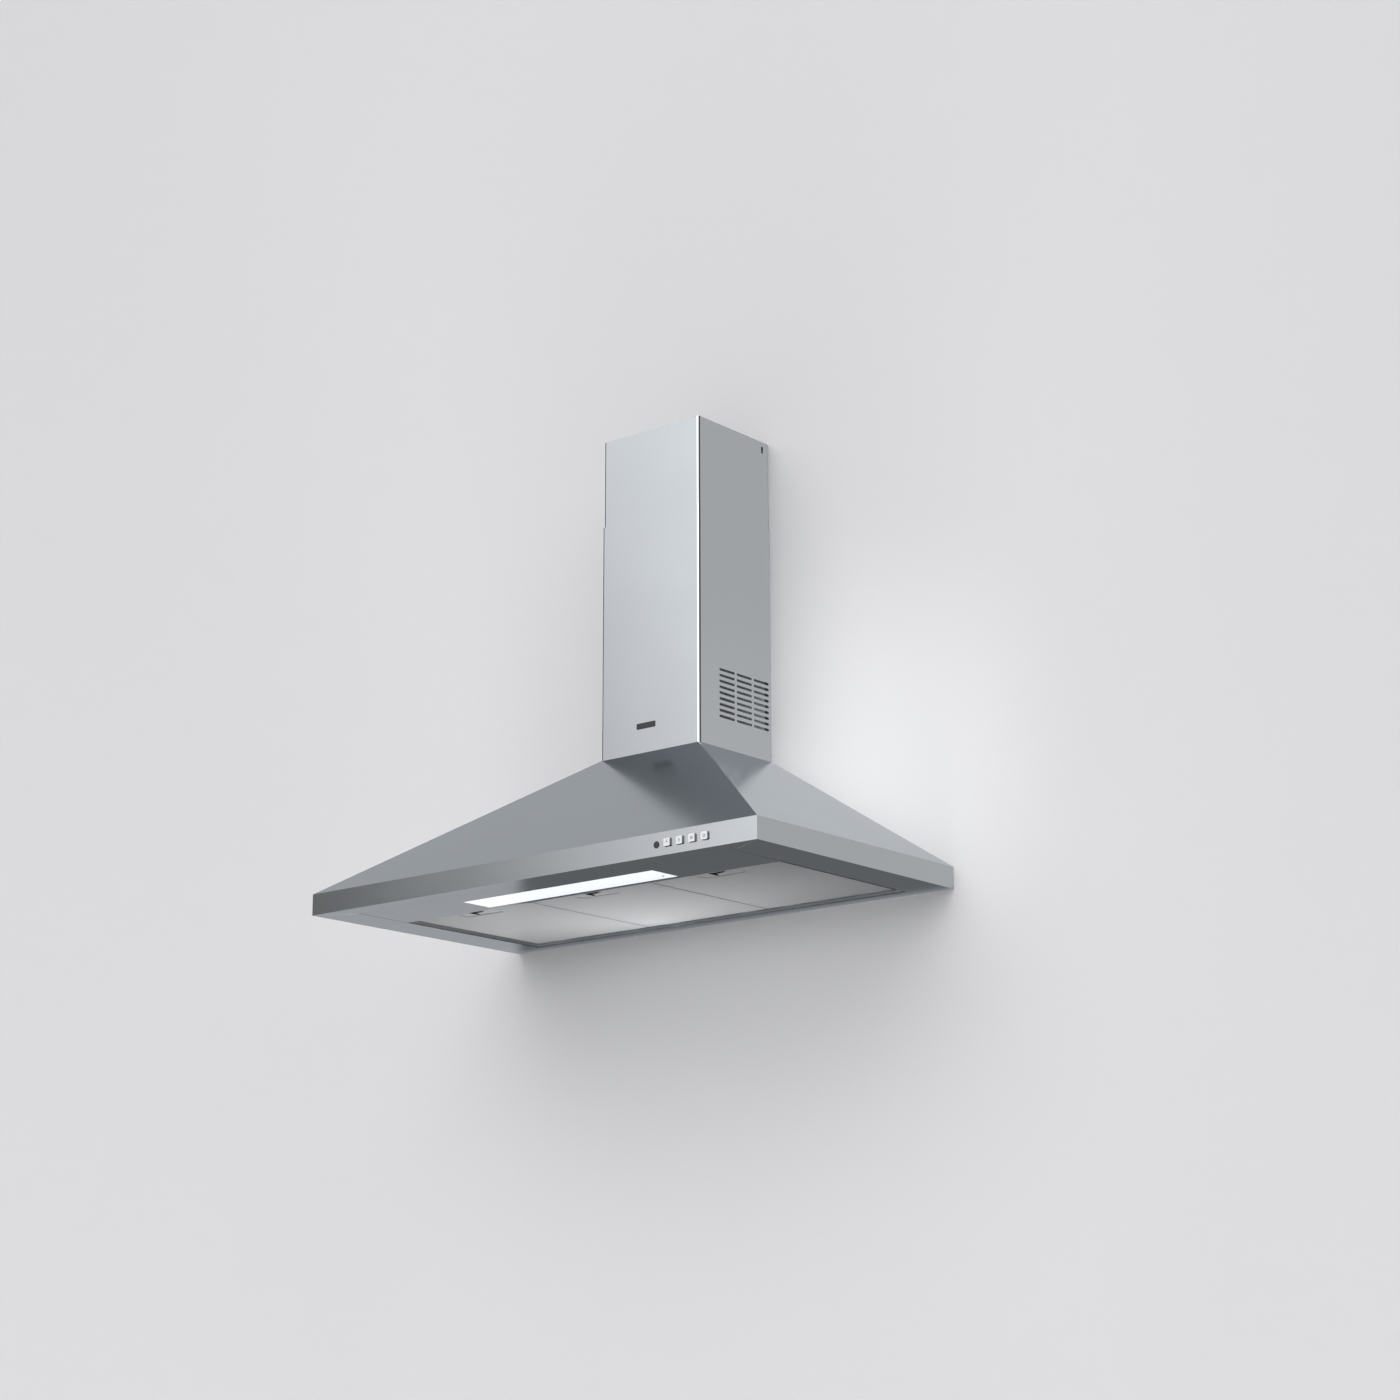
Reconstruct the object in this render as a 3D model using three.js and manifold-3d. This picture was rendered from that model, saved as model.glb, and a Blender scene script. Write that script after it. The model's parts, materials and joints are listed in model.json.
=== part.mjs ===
// Wall-mounted chimney range hood: a pyramid canopy with a telescoping chimney.
//
// Millimetres, +Z up. X runs left to right as seen from the front, the wall is the plane Y = 0
// and the front faces -Y. Heights are written from the canopy's lower edge. The finished group
// is lowered so that its origin is on the back panel at the height where the wall hooks carry it.

import * as THREE from "three";
import { mergeVertices } from "three/addons/utils/BufferGeometryUtils.js";
import Module from "manifold-3d";

const wasm = await Module();
wasm.setup();

// ---------------------------------------------------------------- clearances
const seat = 0.3; // between pieces that rest on, or are fixed to, each other
const slideGap = 0.4; // between pieces that slide in each other
const runGap = 0.3; // around shafts, pins and beads that turn
const easyGap = 0.6; // around pieces that are fitted with room
const cutMargin = 1; // how far a cutter runs past the faces that it opens

// ---------------------------------------------------------------- fineness of round forms
const fullTurn = 360; // degrees
const upward = 90; // degrees, from the +Y axis as seen along X
const fineSides = 28;
const roundSides = 20;
const smallSides = 16;
const pinSides = 12;
const curveSteps = 6;

// ---------------------------------------------------------------- canopy
const hoodWidth = 898;
const hoodDepth = 475;
const rimHeight = 34;
const canopyHeight = 250;
const sheet = 1; // steel sheet of the canopy, covers and panels
const hookHeight = 190; // height of the wall hooks' shelves, where the origin lies
const frontFlange = 35; // the rim's sheet turned in under the canopy
const sideFlange = 69;
const rearFlange = 27;

// ---------------------------------------------------------------- chimney
const coverWidth = 204.5;
const coverDepth = 181.6;
const coverBend = 4; // outer radius of the two front bends
const coverBendSteps = 4;
const coverReturn = 12; // rear edges turned in along the wall
const coverTop = 643;
const upperCoverTop = 791;
const upperCoverLength = 385;
const neckStep = 0.8; // how far the canopy's top stands out round the lower cover
const ventColumns = 3;
const ventRows = 9;
const ventLength = 38.5;
const ventHeight = 4.5;
const ventColumnGap = 5;
const ventRowPitch = 9.56;
const ventRearEdge = 6; // from the wall to the rear column's end
const ventBottom = 301.8; // height of the lowest row's middle
const screwSlotWidth = 5;
const screwSlotLength = 12;
const screwSlotBelowTop = 14;
const screwSlotFromWall = 16;

// ---------------------------------------------------------------- chimney brackets
const bracketSheet = 1.5;
const bracketHeight = 24;
const bracketTabLength = 21;
const bracketHoleRadius = 1.6;
const bracketBackHalf = 86; // half the width that lies against the wall
const coverClipLength = 60;
const coverClipHeight = 13;
const coverClipFoot = 12;

// ---------------------------------------------------------------- wall hooks
const hookSheet = 2;
const hookWidth = 36;
const hookSpacing = 300;
const hookDrop = 34; // how far the wall plate hangs below the shelf
const hookReach = 9;
const hookLip = 12;
const hookWindowHeight = 42;
const hookWindowWidth = 44;
const hookHoleRadius = 4;

// ---------------------------------------------------------------- blower housing
const scrollWall = 2;
const scrollHalfWidth = 86;
const scrollTongueRadius = 84; // inner radius where the spiral starts, at the top
const scrollGrowth = 40; // growth of the spiral over a full turn
const scrollAxisHeight = 135;
const scrollRearGap = 14; // from the wall to the housing
const scrollEnd = 270; // degrees from the tongue at the top over the front to the rear
const scrollSteps = 15;
const inletRadius = 60;
const inletBell = 6; // radius of the inlet's rolled-in edge
const bellSteps = 3;
const bellRear = 180; // degrees at which the rolled edge points into the housing
const bellRim = 270; // degrees at which it meets the side wall
const throatLip = 4; // straight part of the throat below its top

// ---------------------------------------------------------------- fan wheel and motor
const wheelRadius = 76;
const wheelHalfWidth = 77;
const wheelRing = 3;
const bladeCount = 27;
const bladeDepth = 12; // radial depth of a blade
const bladeThickness = 1.2;
const bladeBend = 8; // from a blade's inner edge to where its curve turns
const bladeLead = 7; // degrees by which a blade's outer edge leads its inner edge
const wheelDisc = 2;
const hubRadius = 12;
const hubHalfLength = 8;
const hubNose = 8; // extra length of the hub on the free side
const shaftRadius = 4;
const motorRadius = 44;
const motorStart = 12; // from the wheel's disc plane to the motor
const motorBell = 6; // rounding of the motor's ends
const bearingRadius = 11;
const bearingWidth = 7;
const spiderPlate = 2.5;
const spiderRim = 8; // width of the ring that is screwed to the housing
const spiderArm = 14;
const spiderArms = 3;
const spiderCentre = 22;
const guardRings = 2;
const guardBar = 3;
const guardSpokes = 4;
const guardSpokeStart = 45; // degrees

// ---------------------------------------------------------------- outlet
const collarRadius = 75;
const collarWall = 2;
const collarHeight = 60;
const collarFlange = 2;
const collarCorner = 6; // rounding of the flange's corners
const plateOpeningHalfWidth = 86; // opening in the canopy's top, round the collar's flange
const plateOpeningRear = 10;
const flapThickness = 1.5;
const flapPinRadius = 1.5;
const flapKnuckle = 2.8; // outer radius of a flap's knuckle
const flapPinSpacing = 7;
const flapStopHeight = 20; // height of the flaps' stop above the flange
const flapStop = 2.5;
const flapKnuckleGap = 1.2; // from the stop to the ends of a flap's knuckle

// ---------------------------------------------------------------- underside
const lampPanelDepth = 107; // from the front flange to the filter bay
const ledgeHeight = 11.7; // height of the ledge that the filters lie against
const ledgeDepth = 22;
const trayFlange = 12;
const trayFrontFlange = 6;
const lampSeam = 0.8;
const lampRim = 10; // joggled rim that lies on the canopy's flanges

// ---------------------------------------------------------------- lamp
const lensWidth = 382.5;
const lensDepth = 58;
const lensCentreX = 3.75;
const lensFromRearEdge = 11; // from the lamp panel's rear edge to the lens
const lensRim = 2.2;
const lensThickness = 1.3;
const lampHousingHeight = 12;
const lampHousingSheet = 0.8;
const lampBoardThickness = 1.2;
const lampBoardInset = 14.5; // from the lens's long edges to the lamp board
const driverLength = 90;
const driverWidth = 40;
const driverHeight = 22;
const driverFromSide = 50; // from the lamp panel's left side

// ---------------------------------------------------------------- filters
const filterCount = 3;
const filterGap = 1;
const filterEndGap = 12.5; // from the filter bay's sides to the outer filters
const filterRearGap = 13; // from the filter bay's rear edge to the filters
const filterFrontGap = 2;
const filterThickness = 8;
const filterChannel = 0.8; // aluminium sheet of the frame
const filterLip = 7;
const hingeRailRadius = 1.9;
const hingeRailWall = 0.9;
const hingeRailFrom = -84; // degrees between which the gutter runs behind the filters' beads
const hingeRailTo = 100;
const hingeRailSteps = 8;
const filterTabWidth = 30;
const filterTabSpacing = 160;
const filterTabThickness = 1.2;
const filterTabHeight = 3.6; // from a filter's lower face to the axis of its hinge beads

// ---------------------------------------------------------------- filter latches
const latchPanWidth = 84;
const latchPanDepth = 43;
const latchFloor = 0.8;
const latchCorner = 6; // rounding of the dish, the recess and the finger end
const latchCornerSteps = 3;
const latchDishMargin = 3; // flat margin beside and behind the dish
const latchDishFront = 12; // from the pan's front to the dish
const latchDishInset = 0.6; // how far the dish lies above the filter's lower face
const latchRecessMargin = 1.4; // from the dish's edges to the recess
const latchRecessStart = -16; // where the recess starts, from the filter's middle
const latchPlateStart = 9;
const latchPlateThickness = 2;
const latchFingerStart = -8; // where the plate's finger end starts
const latchFingerWidth = 13;
const latchFingerBehind = 6; // from the plate's front edge to its finger end
const latchTravel = 5;
const latchTravelSpare = 0.6;
const latchPostInset = 4; // from the plate's edges to the post that guides it
const latchBoltWidth = 16;
const latchBoltThickness = 1.4;
const latchBoltHeight = 3.6; // from the filter's lower face to the bolt
const latchBoltReach = 1.6;

// ---------------------------------------------------------------- controls
const keyCount = 4;
const keySize = 11.5;
const keyPitch = 23;
const lastKeyFromSide = 93; // from the canopy's right side to the last key's middle
const keyHeight = 17.5;
const keyProud = 3;
const keyCorner = 1;
const keyTravel = 2.5;
const keyFlange = 1.6;
const keyFlangeThickness = 1.2;
const keyStemRadius = 2.2;
const keyStemReach = 1.2; // how far a key's stem stands in the control box
const indicatorToKey = 21;
const indicatorHeight = 16.5;
const indicatorRadius = 5;
const indicatorProud = 0.8;
const indicatorStemRadius = 3;
const controlBoxBack = 36; // from the canopy's front to the control box's open back
const controlBoxFront = 13; // from the canopy's front to the control box
const controlBoxWall = 1.5;
const controlBoxMargin = 12;
const controlBoxHeight = 26;
const controlBoardThickness = 1.6;

// ---------------------------------------------------------------- electrics
const junctionWidth = 100;
const junctionDepth = 44;
const junctionHeight = 70;
const junctionFromBlower = 32;
const junctionZ = 60;
const junctionWall = 2;
const glandRadius = 8;
const glandBore = 3.5;
const glandHeight = 18;
const glandFoot = 6;
const glandNeckRadius = 6;
const glandTipRadius = 4.8;
const glandTip = 3.6;
const capacitorRadius = 14;
const capacitorLength = 55;
const capacitorFromAxis = 72; // behind the fan axis
const capacitorZ = 42;
const leadRadius = 3;
const leadStep = 20; // length of a straight piece in a bent lead
const leadSegments = 4; // of each quarter round a lead
const motorLeadBend = 9;
const controlLeadBend = 12;
const controlLeadRun = 84; // from the junction box to where it drops to the ledge
const controlLeadRise = 1.5; // from the filter bay's ledge to the lead

// ---------------------------------------------------------------- places worked out from the above
const halfWidth = hoodWidth / 2;
const firstKeyX = halfWidth - lastKeyFromSide - (keyCount - 1) * keyPitch;
const indicatorX = firstKeyX - indicatorToKey;
const neckHalfWidth = coverWidth / 2 + neckStep;
const neckDepth = coverDepth + neckStep;
const sideEdge = halfWidth - sideFlange; // half the width of the opening underneath
const bayRear = -rearFlange;
const lampFront = -hoodDepth + frontFlange;
const bayFront = lampFront + lampPanelDepth;
const flangeTop = sheet + seat; // where pieces lie on the flanges

const plateTop = canopyHeight - sheet - seat;
const plateBottom = plateTop - sheet;
const scrollTop = plateBottom - seat;
const scrollRearRadius = scrollTongueRadius + scrollGrowth * scrollEnd / fullTurn + scrollWall;
const axisY = -scrollRearGap - scrollRearRadius;
const axisZ = scrollAxisHeight;

const collarY = -(scrollRearGap + scrollWall + collarRadius);
const collarBase = canopyHeight - sheet + seat;
const collarTop = collarBase + collarFlange + collarHeight;
const flapSeat = collarBase + collarFlange + flapStopHeight;
const flapAxisZ = flapSeat + seat + flapThickness / 2;

const filterPitch = 2 * (sideEdge - filterEndGap) / filterCount;
const filterWidth = filterPitch - filterGap;
const filterTop = ledgeHeight - seat;
const filterBottom = filterTop - filterThickness;
const filterFront = bayFront + filterFrontGap;
const filterRear = bayRear - filterRearGap;
const filterAxisY = bayRear - seat - hingeRailWall - hingeRailRadius;
const filterAxisZ = filterBottom + filterTabHeight;

const frontFace = -hoodDepth;
const controlFront = frontFace + controlBoxFront;
const controlBack = frontFace + controlBoxBack;

// ---------------------------------------------------------------- colours and finishes
const finishes = {
  steel: { color: 0xb4b8ba, roughness: 0.34, metalness: 1 },
  galvanised: { color: 0xa6abaf, roughness: 0.5, metalness: 1 },
  coated: { color: 0x33353a, roughness: 0.5, metalness: 0 },
  aluminium: { color: 0xc9ccce, roughness: 0.42, metalness: 1 },
  housing: { color: 0x2b2d30, roughness: 0.55, metalness: 0 },
  motor: { color: 0x8d9296, roughness: 0.4, metalness: 1 },
  shaft: { color: 0xc3c7ca, roughness: 0.25, metalness: 1 },
  key: { color: 0xd9dcdd, roughness: 0.35, metalness: 0.6 },
  indicator: { color: 0x15171a, roughness: 0.2, metalness: 0 },
  diffuser: { color: 0xf4f7ff, roughness: 0.3, metalness: 0 },
  board: { color: 0x2f6b3f, roughness: 0.6, metalness: 0 },
  electrics: { color: 0xd6d7d4, roughness: 0.5, metalness: 0 },
  cable: { color: 0x3a3c3f, roughness: 0.6, metalness: 0 },
};

// ---------------------------------------------------------------- solids from geometry
const xAxis = new THREE.Vector3(1, 0, 0);
const yAxis = new THREE.Vector3(0, 1, 0);
const zAxis = new THREE.Vector3(0, 0, 1);
const mergeDistance = 1e-4;

// Three.js geometry as a closed solid: shared corners merged, collapsed triangles left out.
function solid(geometry) {
  const bare = geometry.clone();
  bare.deleteAttribute("normal");
  bare.deleteAttribute("uv");
  const merged = mergeVertices(bare, mergeDistance);
  const corners = merged.index.array;
  const kept = [];
  for (let i = 0; i < corners.length; i += 3) {
    const [a, b, c] = [corners[i], corners[i + 1], corners[i + 2]];
    if (a !== b && b !== c && a !== c) kept.push(a, b, c);
  }
  const vertProperties = Float32Array.from(merged.attributes.position.array);
  return new wasm.Manifold(new wasm.Mesh({
    numProp: 3,
    vertProperties,
    triVerts: Uint32Array.from(kept),
  }));
}

function geometryOf(form) {
  const { vertProperties, triVerts } = form.getMesh();
  const geometry = new THREE.BufferGeometry();
  geometry.setAttribute("position", new THREE.BufferAttribute(Float32Array.from(vertProperties), 3));
  geometry.setIndex(new THREE.BufferAttribute(Uint32Array.from(triVerts), 1));
  geometry.computeVertexNormals();
  return geometry;
}

function block([x0, x1], [y0, y1], [z0, z1]) {
  const box = new THREE.BoxGeometry(x1 - x0, y1 - y0, z1 - z0);
  box.translate((x0 + x1) / 2, (y0 + y1) / 2, (z0 + z1) / 2);
  return solid(box);
}

// A shape drawn in the plane across an axis, extruded along it: (Y, Z) along x, (X, Z) along y,
// (X, Y) along z.
function prism(shape, along, [from, to], curveSegments = curveSteps) {
  const body = new THREE.ExtrudeGeometry(shape, {
    depth: to - from,
    bevelEnabled: false,
    curveSegments,
  });
  const turn = new THREE.Matrix4();
  if (along === "x") turn.makeBasis(yAxis, zAxis, xAxis).setPosition(from, 0, 0);
  if (along === "y") turn.makeBasis(xAxis, zAxis, yAxis.clone().negate()).setPosition(0, to, 0);
  if (along === "z") turn.setPosition(0, 0, from);
  body.applyMatrix4(turn);
  return solid(body);
}

// A closed outline of [radius, height] points, anticlockwise, turned about an axis through place.
function turned(outline, along, place, sides = fineSides) {
  const points = outline.map(([radius, height]) => new THREE.Vector2(radius, height));
  if (outline[0][0] > 0) points.push(points[0].clone());
  const body = new THREE.LatheGeometry(points, sides);
  if (along === "x") body.rotateZ(-Math.PI / 2);
  if (along === "z") body.rotateX(Math.PI / 2);
  body.translate(...place);
  return solid(body);
}

function rod(along, place, radius, [from, to], sides = roundSides) {
  const body = new THREE.CylinderGeometry(radius, radius, to - from, sides);
  body.translate(0, (from + to) / 2, 0);
  if (along === "x") body.rotateZ(-Math.PI / 2);
  if (along === "z") body.rotateX(Math.PI / 2);
  body.translate(...place);
  return solid(body);
}

function polygon(points) {
  return new THREE.Shape(points.map(([a, b]) => new THREE.Vector2(a, b)));
}

function roundedRectangle([a0, a1], [b0, b1], radius) {
  const shape = new THREE.Shape();
  shape.moveTo(a0 + radius, b0);
  shape.lineTo(a1 - radius, b0);
  shape.absarc(a1 - radius, b0 + radius, radius, -Math.PI / 2, 0, false);
  shape.lineTo(a1, b1 - radius);
  shape.absarc(a1 - radius, b1 - radius, radius, 0, Math.PI / 2, false);
  shape.lineTo(a0 + radius, b1);
  shape.absarc(a0 + radius, b1 - radius, radius, Math.PI / 2, Math.PI, false);
  shape.lineTo(a0, b0 + radius);
  shape.absarc(a0 + radius, b0 + radius, radius, Math.PI, Math.PI * 1.5, false);
  return shape;
}

// Sheet folded along a line of corners, with its thickness on the left of the line's run.
function folded(corners, thickness) {
  const line = corners.map(([a, b]) => new THREE.Vector2(a, b));
  const normals = line.slice(1).map((end, i) => {
    const run = end.clone().sub(line[i]).normalize();
    return new THREE.Vector2(-run.y, run.x);
  });
  const other = line.map((corner, i) => {
    const before = normals[Math.max(i - 1, 0)];
    const after = normals[Math.min(i, normals.length - 1)];
    const mitre = before.clone().add(after).divideScalar(1 + before.dot(after));
    return corner.clone().addScaledVector(mitre, thickness);
  });
  return new THREE.Shape([...line, ...other.reverse()]);
}

function around([a, b], distance, degrees) {
  const angle = THREE.MathUtils.degToRad(degrees);
  return [a + distance * Math.cos(angle), b + distance * Math.sin(angle)];
}

function joined(forms) {
  return forms.reduce((whole, form) => whole.add(form));
}

function cut(form, cutters) {
  return cutters.reduce((rest, cutter) => rest.subtract(cutter), form);
}

// ---------------------------------------------------------------- the object
const hood = new THREE.Group();
hood.position.z = -hookHeight;

function place(name, form, finish) {
  const material = new THREE.MeshStandardMaterial(finishes[finish]);
  const mesh = new THREE.Mesh(geometryOf(form), material);
  mesh.name = name;
  hood.add(mesh);
}

// ---------------------------------------------------------------- canopy shell and its panels

// Front view of the canopy, drawn a sheet's thickness in from its outer faces.
function canopyFront(inset, bottom, top) {
  const slope = (halfWidth - neckHalfWidth) / (canopyHeight - rimHeight);
  const shift = inset * Math.hypot(slope, 1);
  const edge = (height) => halfWidth - (height - rimHeight) * slope - shift;
  const shoulder = rimHeight + (inset - shift) / slope;
  const side = halfWidth - inset;
  return polygon([
    [-side, bottom],
    [side, bottom],
    [side, shoulder],
    [edge(top), top],
    [-edge(top), top],
    [-side, shoulder],
  ]);
}

// Side view of the canopy, drawn in the same way, with its back at rear.
function canopySide(inset, bottom, top, rear) {
  const slope = (hoodDepth - neckDepth) / (canopyHeight - rimHeight);
  const shift = inset * Math.hypot(slope, 1);
  const edge = (height) => -hoodDepth + (height - rimHeight) * slope + shift;
  const shoulder = rimHeight + (inset - shift) / slope;
  return polygon([
    [-hoodDepth + inset, bottom],
    [rear, bottom],
    [rear, top],
    [edge(top), top],
    [-hoodDepth + inset, shoulder],
  ]);
}

function canopyBody(inset, bottom, top, rear) {
  const acrossDepth = prism(canopyFront(inset, bottom, top), "y", [-hoodDepth, rear]);
  const acrossWidth = prism(canopySide(inset, bottom, top, rear), "x", [-halfWidth, halfWidth]);
  return acrossDepth.intersect(acrossWidth);
}

function keyX(index) {
  return firstKeyX + index * keyPitch;
}

function canopyShell() {
  const outside = canopyBody(0, 0, canopyHeight, 0);
  const inside = canopyBody(sheet, sheet, canopyHeight - sheet, cutMargin);
  const underside = block([-sideEdge, sideEdge], [lampFront, bayRear], [-cutMargin, sheet + cutMargin]);
  const top = block(
    [-plateOpeningHalfWidth, plateOpeningHalfWidth],
    [collarY - collarRadius - easyGap, -plateOpeningRear],
    [canopyHeight - sheet - cutMargin, canopyHeight + cutMargin],
  );
  const wall = [frontFace - cutMargin, frontFace + sheet + cutMargin];
  const half = keySize / 2 + seat;
  const holes = [];
  for (let i = 0; i < keyCount; i += 1) {
    holes.push(block([keyX(i) - half, keyX(i) + half], wall, [keyHeight - half, keyHeight + half]));
  }
  holes.push(rod("y", [indicatorX, 0, indicatorHeight], indicatorRadius + seat, wall));
  return cut(outside, [inside, underside, top, ...holes]);
}

function backPanel() {
  const outline = canopyFront(sheet + seat, flangeTop, plateBottom);
  const panel = prism(outline, "y", [-sheet, 0]);
  const windows = [-1, 1].map((side) => {
    const middle = side * hookSpacing / 2;
    return block(
      [middle - hookWindowWidth / 2, middle + hookWindowWidth / 2],
      [-sheet - cutMargin, cutMargin],
      [hookHeight + seat - hookWindowHeight, hookHeight + seat],
    );
  });
  return cut(panel, windows);
}

// The plate under the canopy's top, which carries the blower.
function topPlate() {
  const side = neckHalfWidth - sheet - seat;
  const plate = block([-side, side], [-neckDepth + sheet + seat, -sheet - seat], [plateBottom, plateTop]);
  const inner = scrollHalfWidth - scrollWall;
  const opening = block(
    [-inner, inner],
    [collarY - collarRadius + scrollWall, -scrollRearGap - scrollWall],
    [plateBottom - cutMargin, plateTop + cutMargin],
  );
  return plate.subtract(opening);
}

function wallHook(side) {
  const middle = side * hookSpacing / 2;
  const strip = folded([
    [0, hookHeight - hookDrop],
    [0, hookHeight],
    [-hookReach, hookHeight],
    [-hookReach, hookHeight + hookLip],
  ], hookSheet);
  const hook = prism(strip, "x", [middle - hookWidth / 2, middle + hookWidth / 2]);
  const holeHeight = hookHeight - hookDrop / 2 - hookSheet;
  const hole = rod("y", [middle, 0, holeHeight], hookHoleRadius, [-hookSheet - cutMargin, cutMargin]);
  return hook.subtract(hole);
}

// ---------------------------------------------------------------- filter bay and lamp panel

function filterTray() {
  const flange = block(
    [-sideEdge - trayFlange, sideEdge + trayFlange],
    [bayFront - sheet - trayFrontFlange, bayRear + sheet + trayFlange],
    [flangeTop, flangeTop + sheet],
  );
  const walls = block(
    [-sideEdge - sheet, sideEdge + sheet],
    [bayFront - sheet, bayRear + sheet],
    [flangeTop, ledgeHeight + sheet],
  );
  const bay = block([-sideEdge, sideEdge], [bayFront, bayRear], [0, ledgeHeight]);
  const window = block(
    [-sideEdge + ledgeDepth, sideEdge - ledgeDepth],
    [bayFront + ledgeDepth, bayRear - ledgeDepth],
    [0, ledgeHeight + sheet + cutMargin],
  );
  return cut(flange.add(walls), [bay, window]);
}

// Rolled gutter along the bay's rear wall, in which the filters' rear beads turn.
function hingeRail() {
  const middle = [filterAxisY, filterAxisZ];
  const outer = hingeRailRadius + hingeRailWall;
  const [low, high] = [hingeRailFrom, hingeRailTo].map(THREE.MathUtils.degToRad);
  const section = new THREE.Shape();
  section.absarc(...middle, outer, low, high, false);
  section.absarc(...middle, hingeRailRadius, high, low, true);
  const half = filterCount * filterPitch / 2;
  return prism(section, "x", [-half, half], hingeRailSteps);
}

function lensX() {
  return [lensCentreX - lensWidth / 2, lensCentreX + lensWidth / 2];
}

function lensY() {
  const rear = bayFront - lensFromRearEdge;
  return [rear - lensDepth, rear];
}

function grown([from, to], margin) {
  return [from - margin, to + margin];
}

function lampPanel() {
  const side = sideEdge - lampSeam;
  const front = lampFront + seat;
  const rimRear = bayFront - sheet - trayFrontFlange - seat;
  const lower = block([-side, side], [front, bayFront], [0, flangeTop + sheet]);
  const rimX = grown([-side, side], lampRim);
  const rim = block(rimX, [front - lampRim, rimRear], [flangeTop, flangeTop + sheet]);
  const above = [sheet, flangeTop + sheet + cutMargin];
  const pocket = block(grown([-side, side], -sheet), [front + sheet, bayFront + cutMargin], above);
  const rearStrip = block(grown([-side, side], cutMargin), [rimRear, bayFront + cutMargin], above);
  const window = block(grown(lensX(), seat), grown(lensY(), seat), [-cutMargin, flangeTop + cutMargin]);
  return cut(lower.add(rim), [pocket, rearStrip, window]);
}

function lampLens() {
  const pane = block(lensX(), lensY(), [0, flangeTop + lensThickness]);
  const rimZ = [flangeTop, flangeTop + lensThickness];
  const rim = block(grown(lensX(), lensRim), grown(lensY(), lensRim), rimZ);
  return pane.add(rim);
}

const lampHousingBase = flangeTop + lensThickness + seat;
const lampHousingTop = lampHousingBase + lampHousingHeight;

function lampHousing() {
  const shell = block(grown(lensX(), lensRim), grown(lensY(), lensRim), [lampHousingBase, lampHousingTop]);
  const inner = lensRim - lampHousingSheet;
  const hollow = block(
    grown(lensX(), inner),
    grown(lensY(), inner),
    [lampHousingBase - cutMargin, lampHousingTop - lampHousingSheet],
  );
  return shell.subtract(hollow);
}

function lampBoard() {
  const top = lampHousingTop - lampHousingSheet - seat;
  return block(grown(lensX(), -lensRim), grown(lensY(), -lampBoardInset), [top - lampBoardThickness, top]);
}

function lampDriver() {
  const rear = lensY()[1];
  const base = sheet + seat;
  const start = -sideEdge + driverFromSide;
  return block([start, start + driverLength], [rear - driverWidth, rear], [base, base + driverHeight]);
}

// ---------------------------------------------------------------- chimney

// Plan of a cover: front and two sides with bent corners, and the rear edges turned in.
function coverSection(width, front, rear) {
  const half = width / 2;
  const inner = coverBend - sheet;
  const bendY = front + coverBend;
  const right = -Math.PI / 2;
  const section = new THREE.Shape();
  section.moveTo(-half + coverReturn, rear);
  section.lineTo(-half, rear);
  section.lineTo(-half, bendY);
  section.absarc(-half + coverBend, bendY, coverBend, -Math.PI, right, false);
  section.lineTo(half - coverBend, front);
  section.absarc(half - coverBend, bendY, coverBend, right, 0, false);
  section.lineTo(half, rear);
  section.lineTo(half - coverReturn, rear);
  section.lineTo(half - coverReturn, rear - sheet);
  section.lineTo(half - sheet, rear - sheet);
  section.lineTo(half - sheet, bendY);
  section.absarc(half - coverBend, bendY, inner, 0, right, true);
  section.lineTo(-half + coverBend, front + sheet);
  section.absarc(-half + coverBend, bendY, inner, right, -Math.PI, true);
  section.lineTo(-half + sheet, rear - sheet);
  section.lineTo(-half + coverReturn, rear - sheet);
  return section;
}

function sideSlot([y0, y1], [z0, z1]) {
  const radius = Math.min(y1 - y0, z1 - z0) / 2;
  const reach = coverWidth / 2 + cutMargin;
  return prism(roundedRectangle([y0, y1], [z0, z1], radius), "x", [-reach, reach], 1);
}

function lowerCover() {
  const bottom = canopyHeight + seat;
  const cover = prism(coverSection(coverWidth, -coverDepth, 0), "z", [bottom, coverTop], coverBendSteps);
  const slots = [];
  for (let column = 0; column < ventColumns; column += 1) {
    const rear = -ventRearEdge - column * (ventLength + ventColumnGap);
    for (let row = 0; row < ventRows; row += 1) {
      const middle = ventBottom + row * ventRowPitch;
      slots.push(sideSlot([rear - ventLength, rear], [middle - ventHeight / 2, middle + ventHeight / 2]));
    }
  }
  return cut(cover, slots);
}

const upperInset = sheet + slideGap;
const upperWidth = coverWidth - 2 * upperInset;
const upperRear = -sheet - seat;
const screwHeight = upperCoverTop - screwSlotBelowTop;

function upperCover() {
  const section = coverSection(upperWidth, -coverDepth + upperInset, upperRear);
  const cover = prism(section, "z", [upperCoverTop - upperCoverLength, upperCoverTop], coverBendSteps);
  const slot = sideSlot(
    [-screwSlotFromWall - screwSlotWidth / 2, -screwSlotFromWall + screwSlotWidth / 2],
    [screwHeight - screwSlotLength / 2, screwHeight + screwSlotLength / 2],
  );
  return cover.subtract(slot);
}

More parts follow.
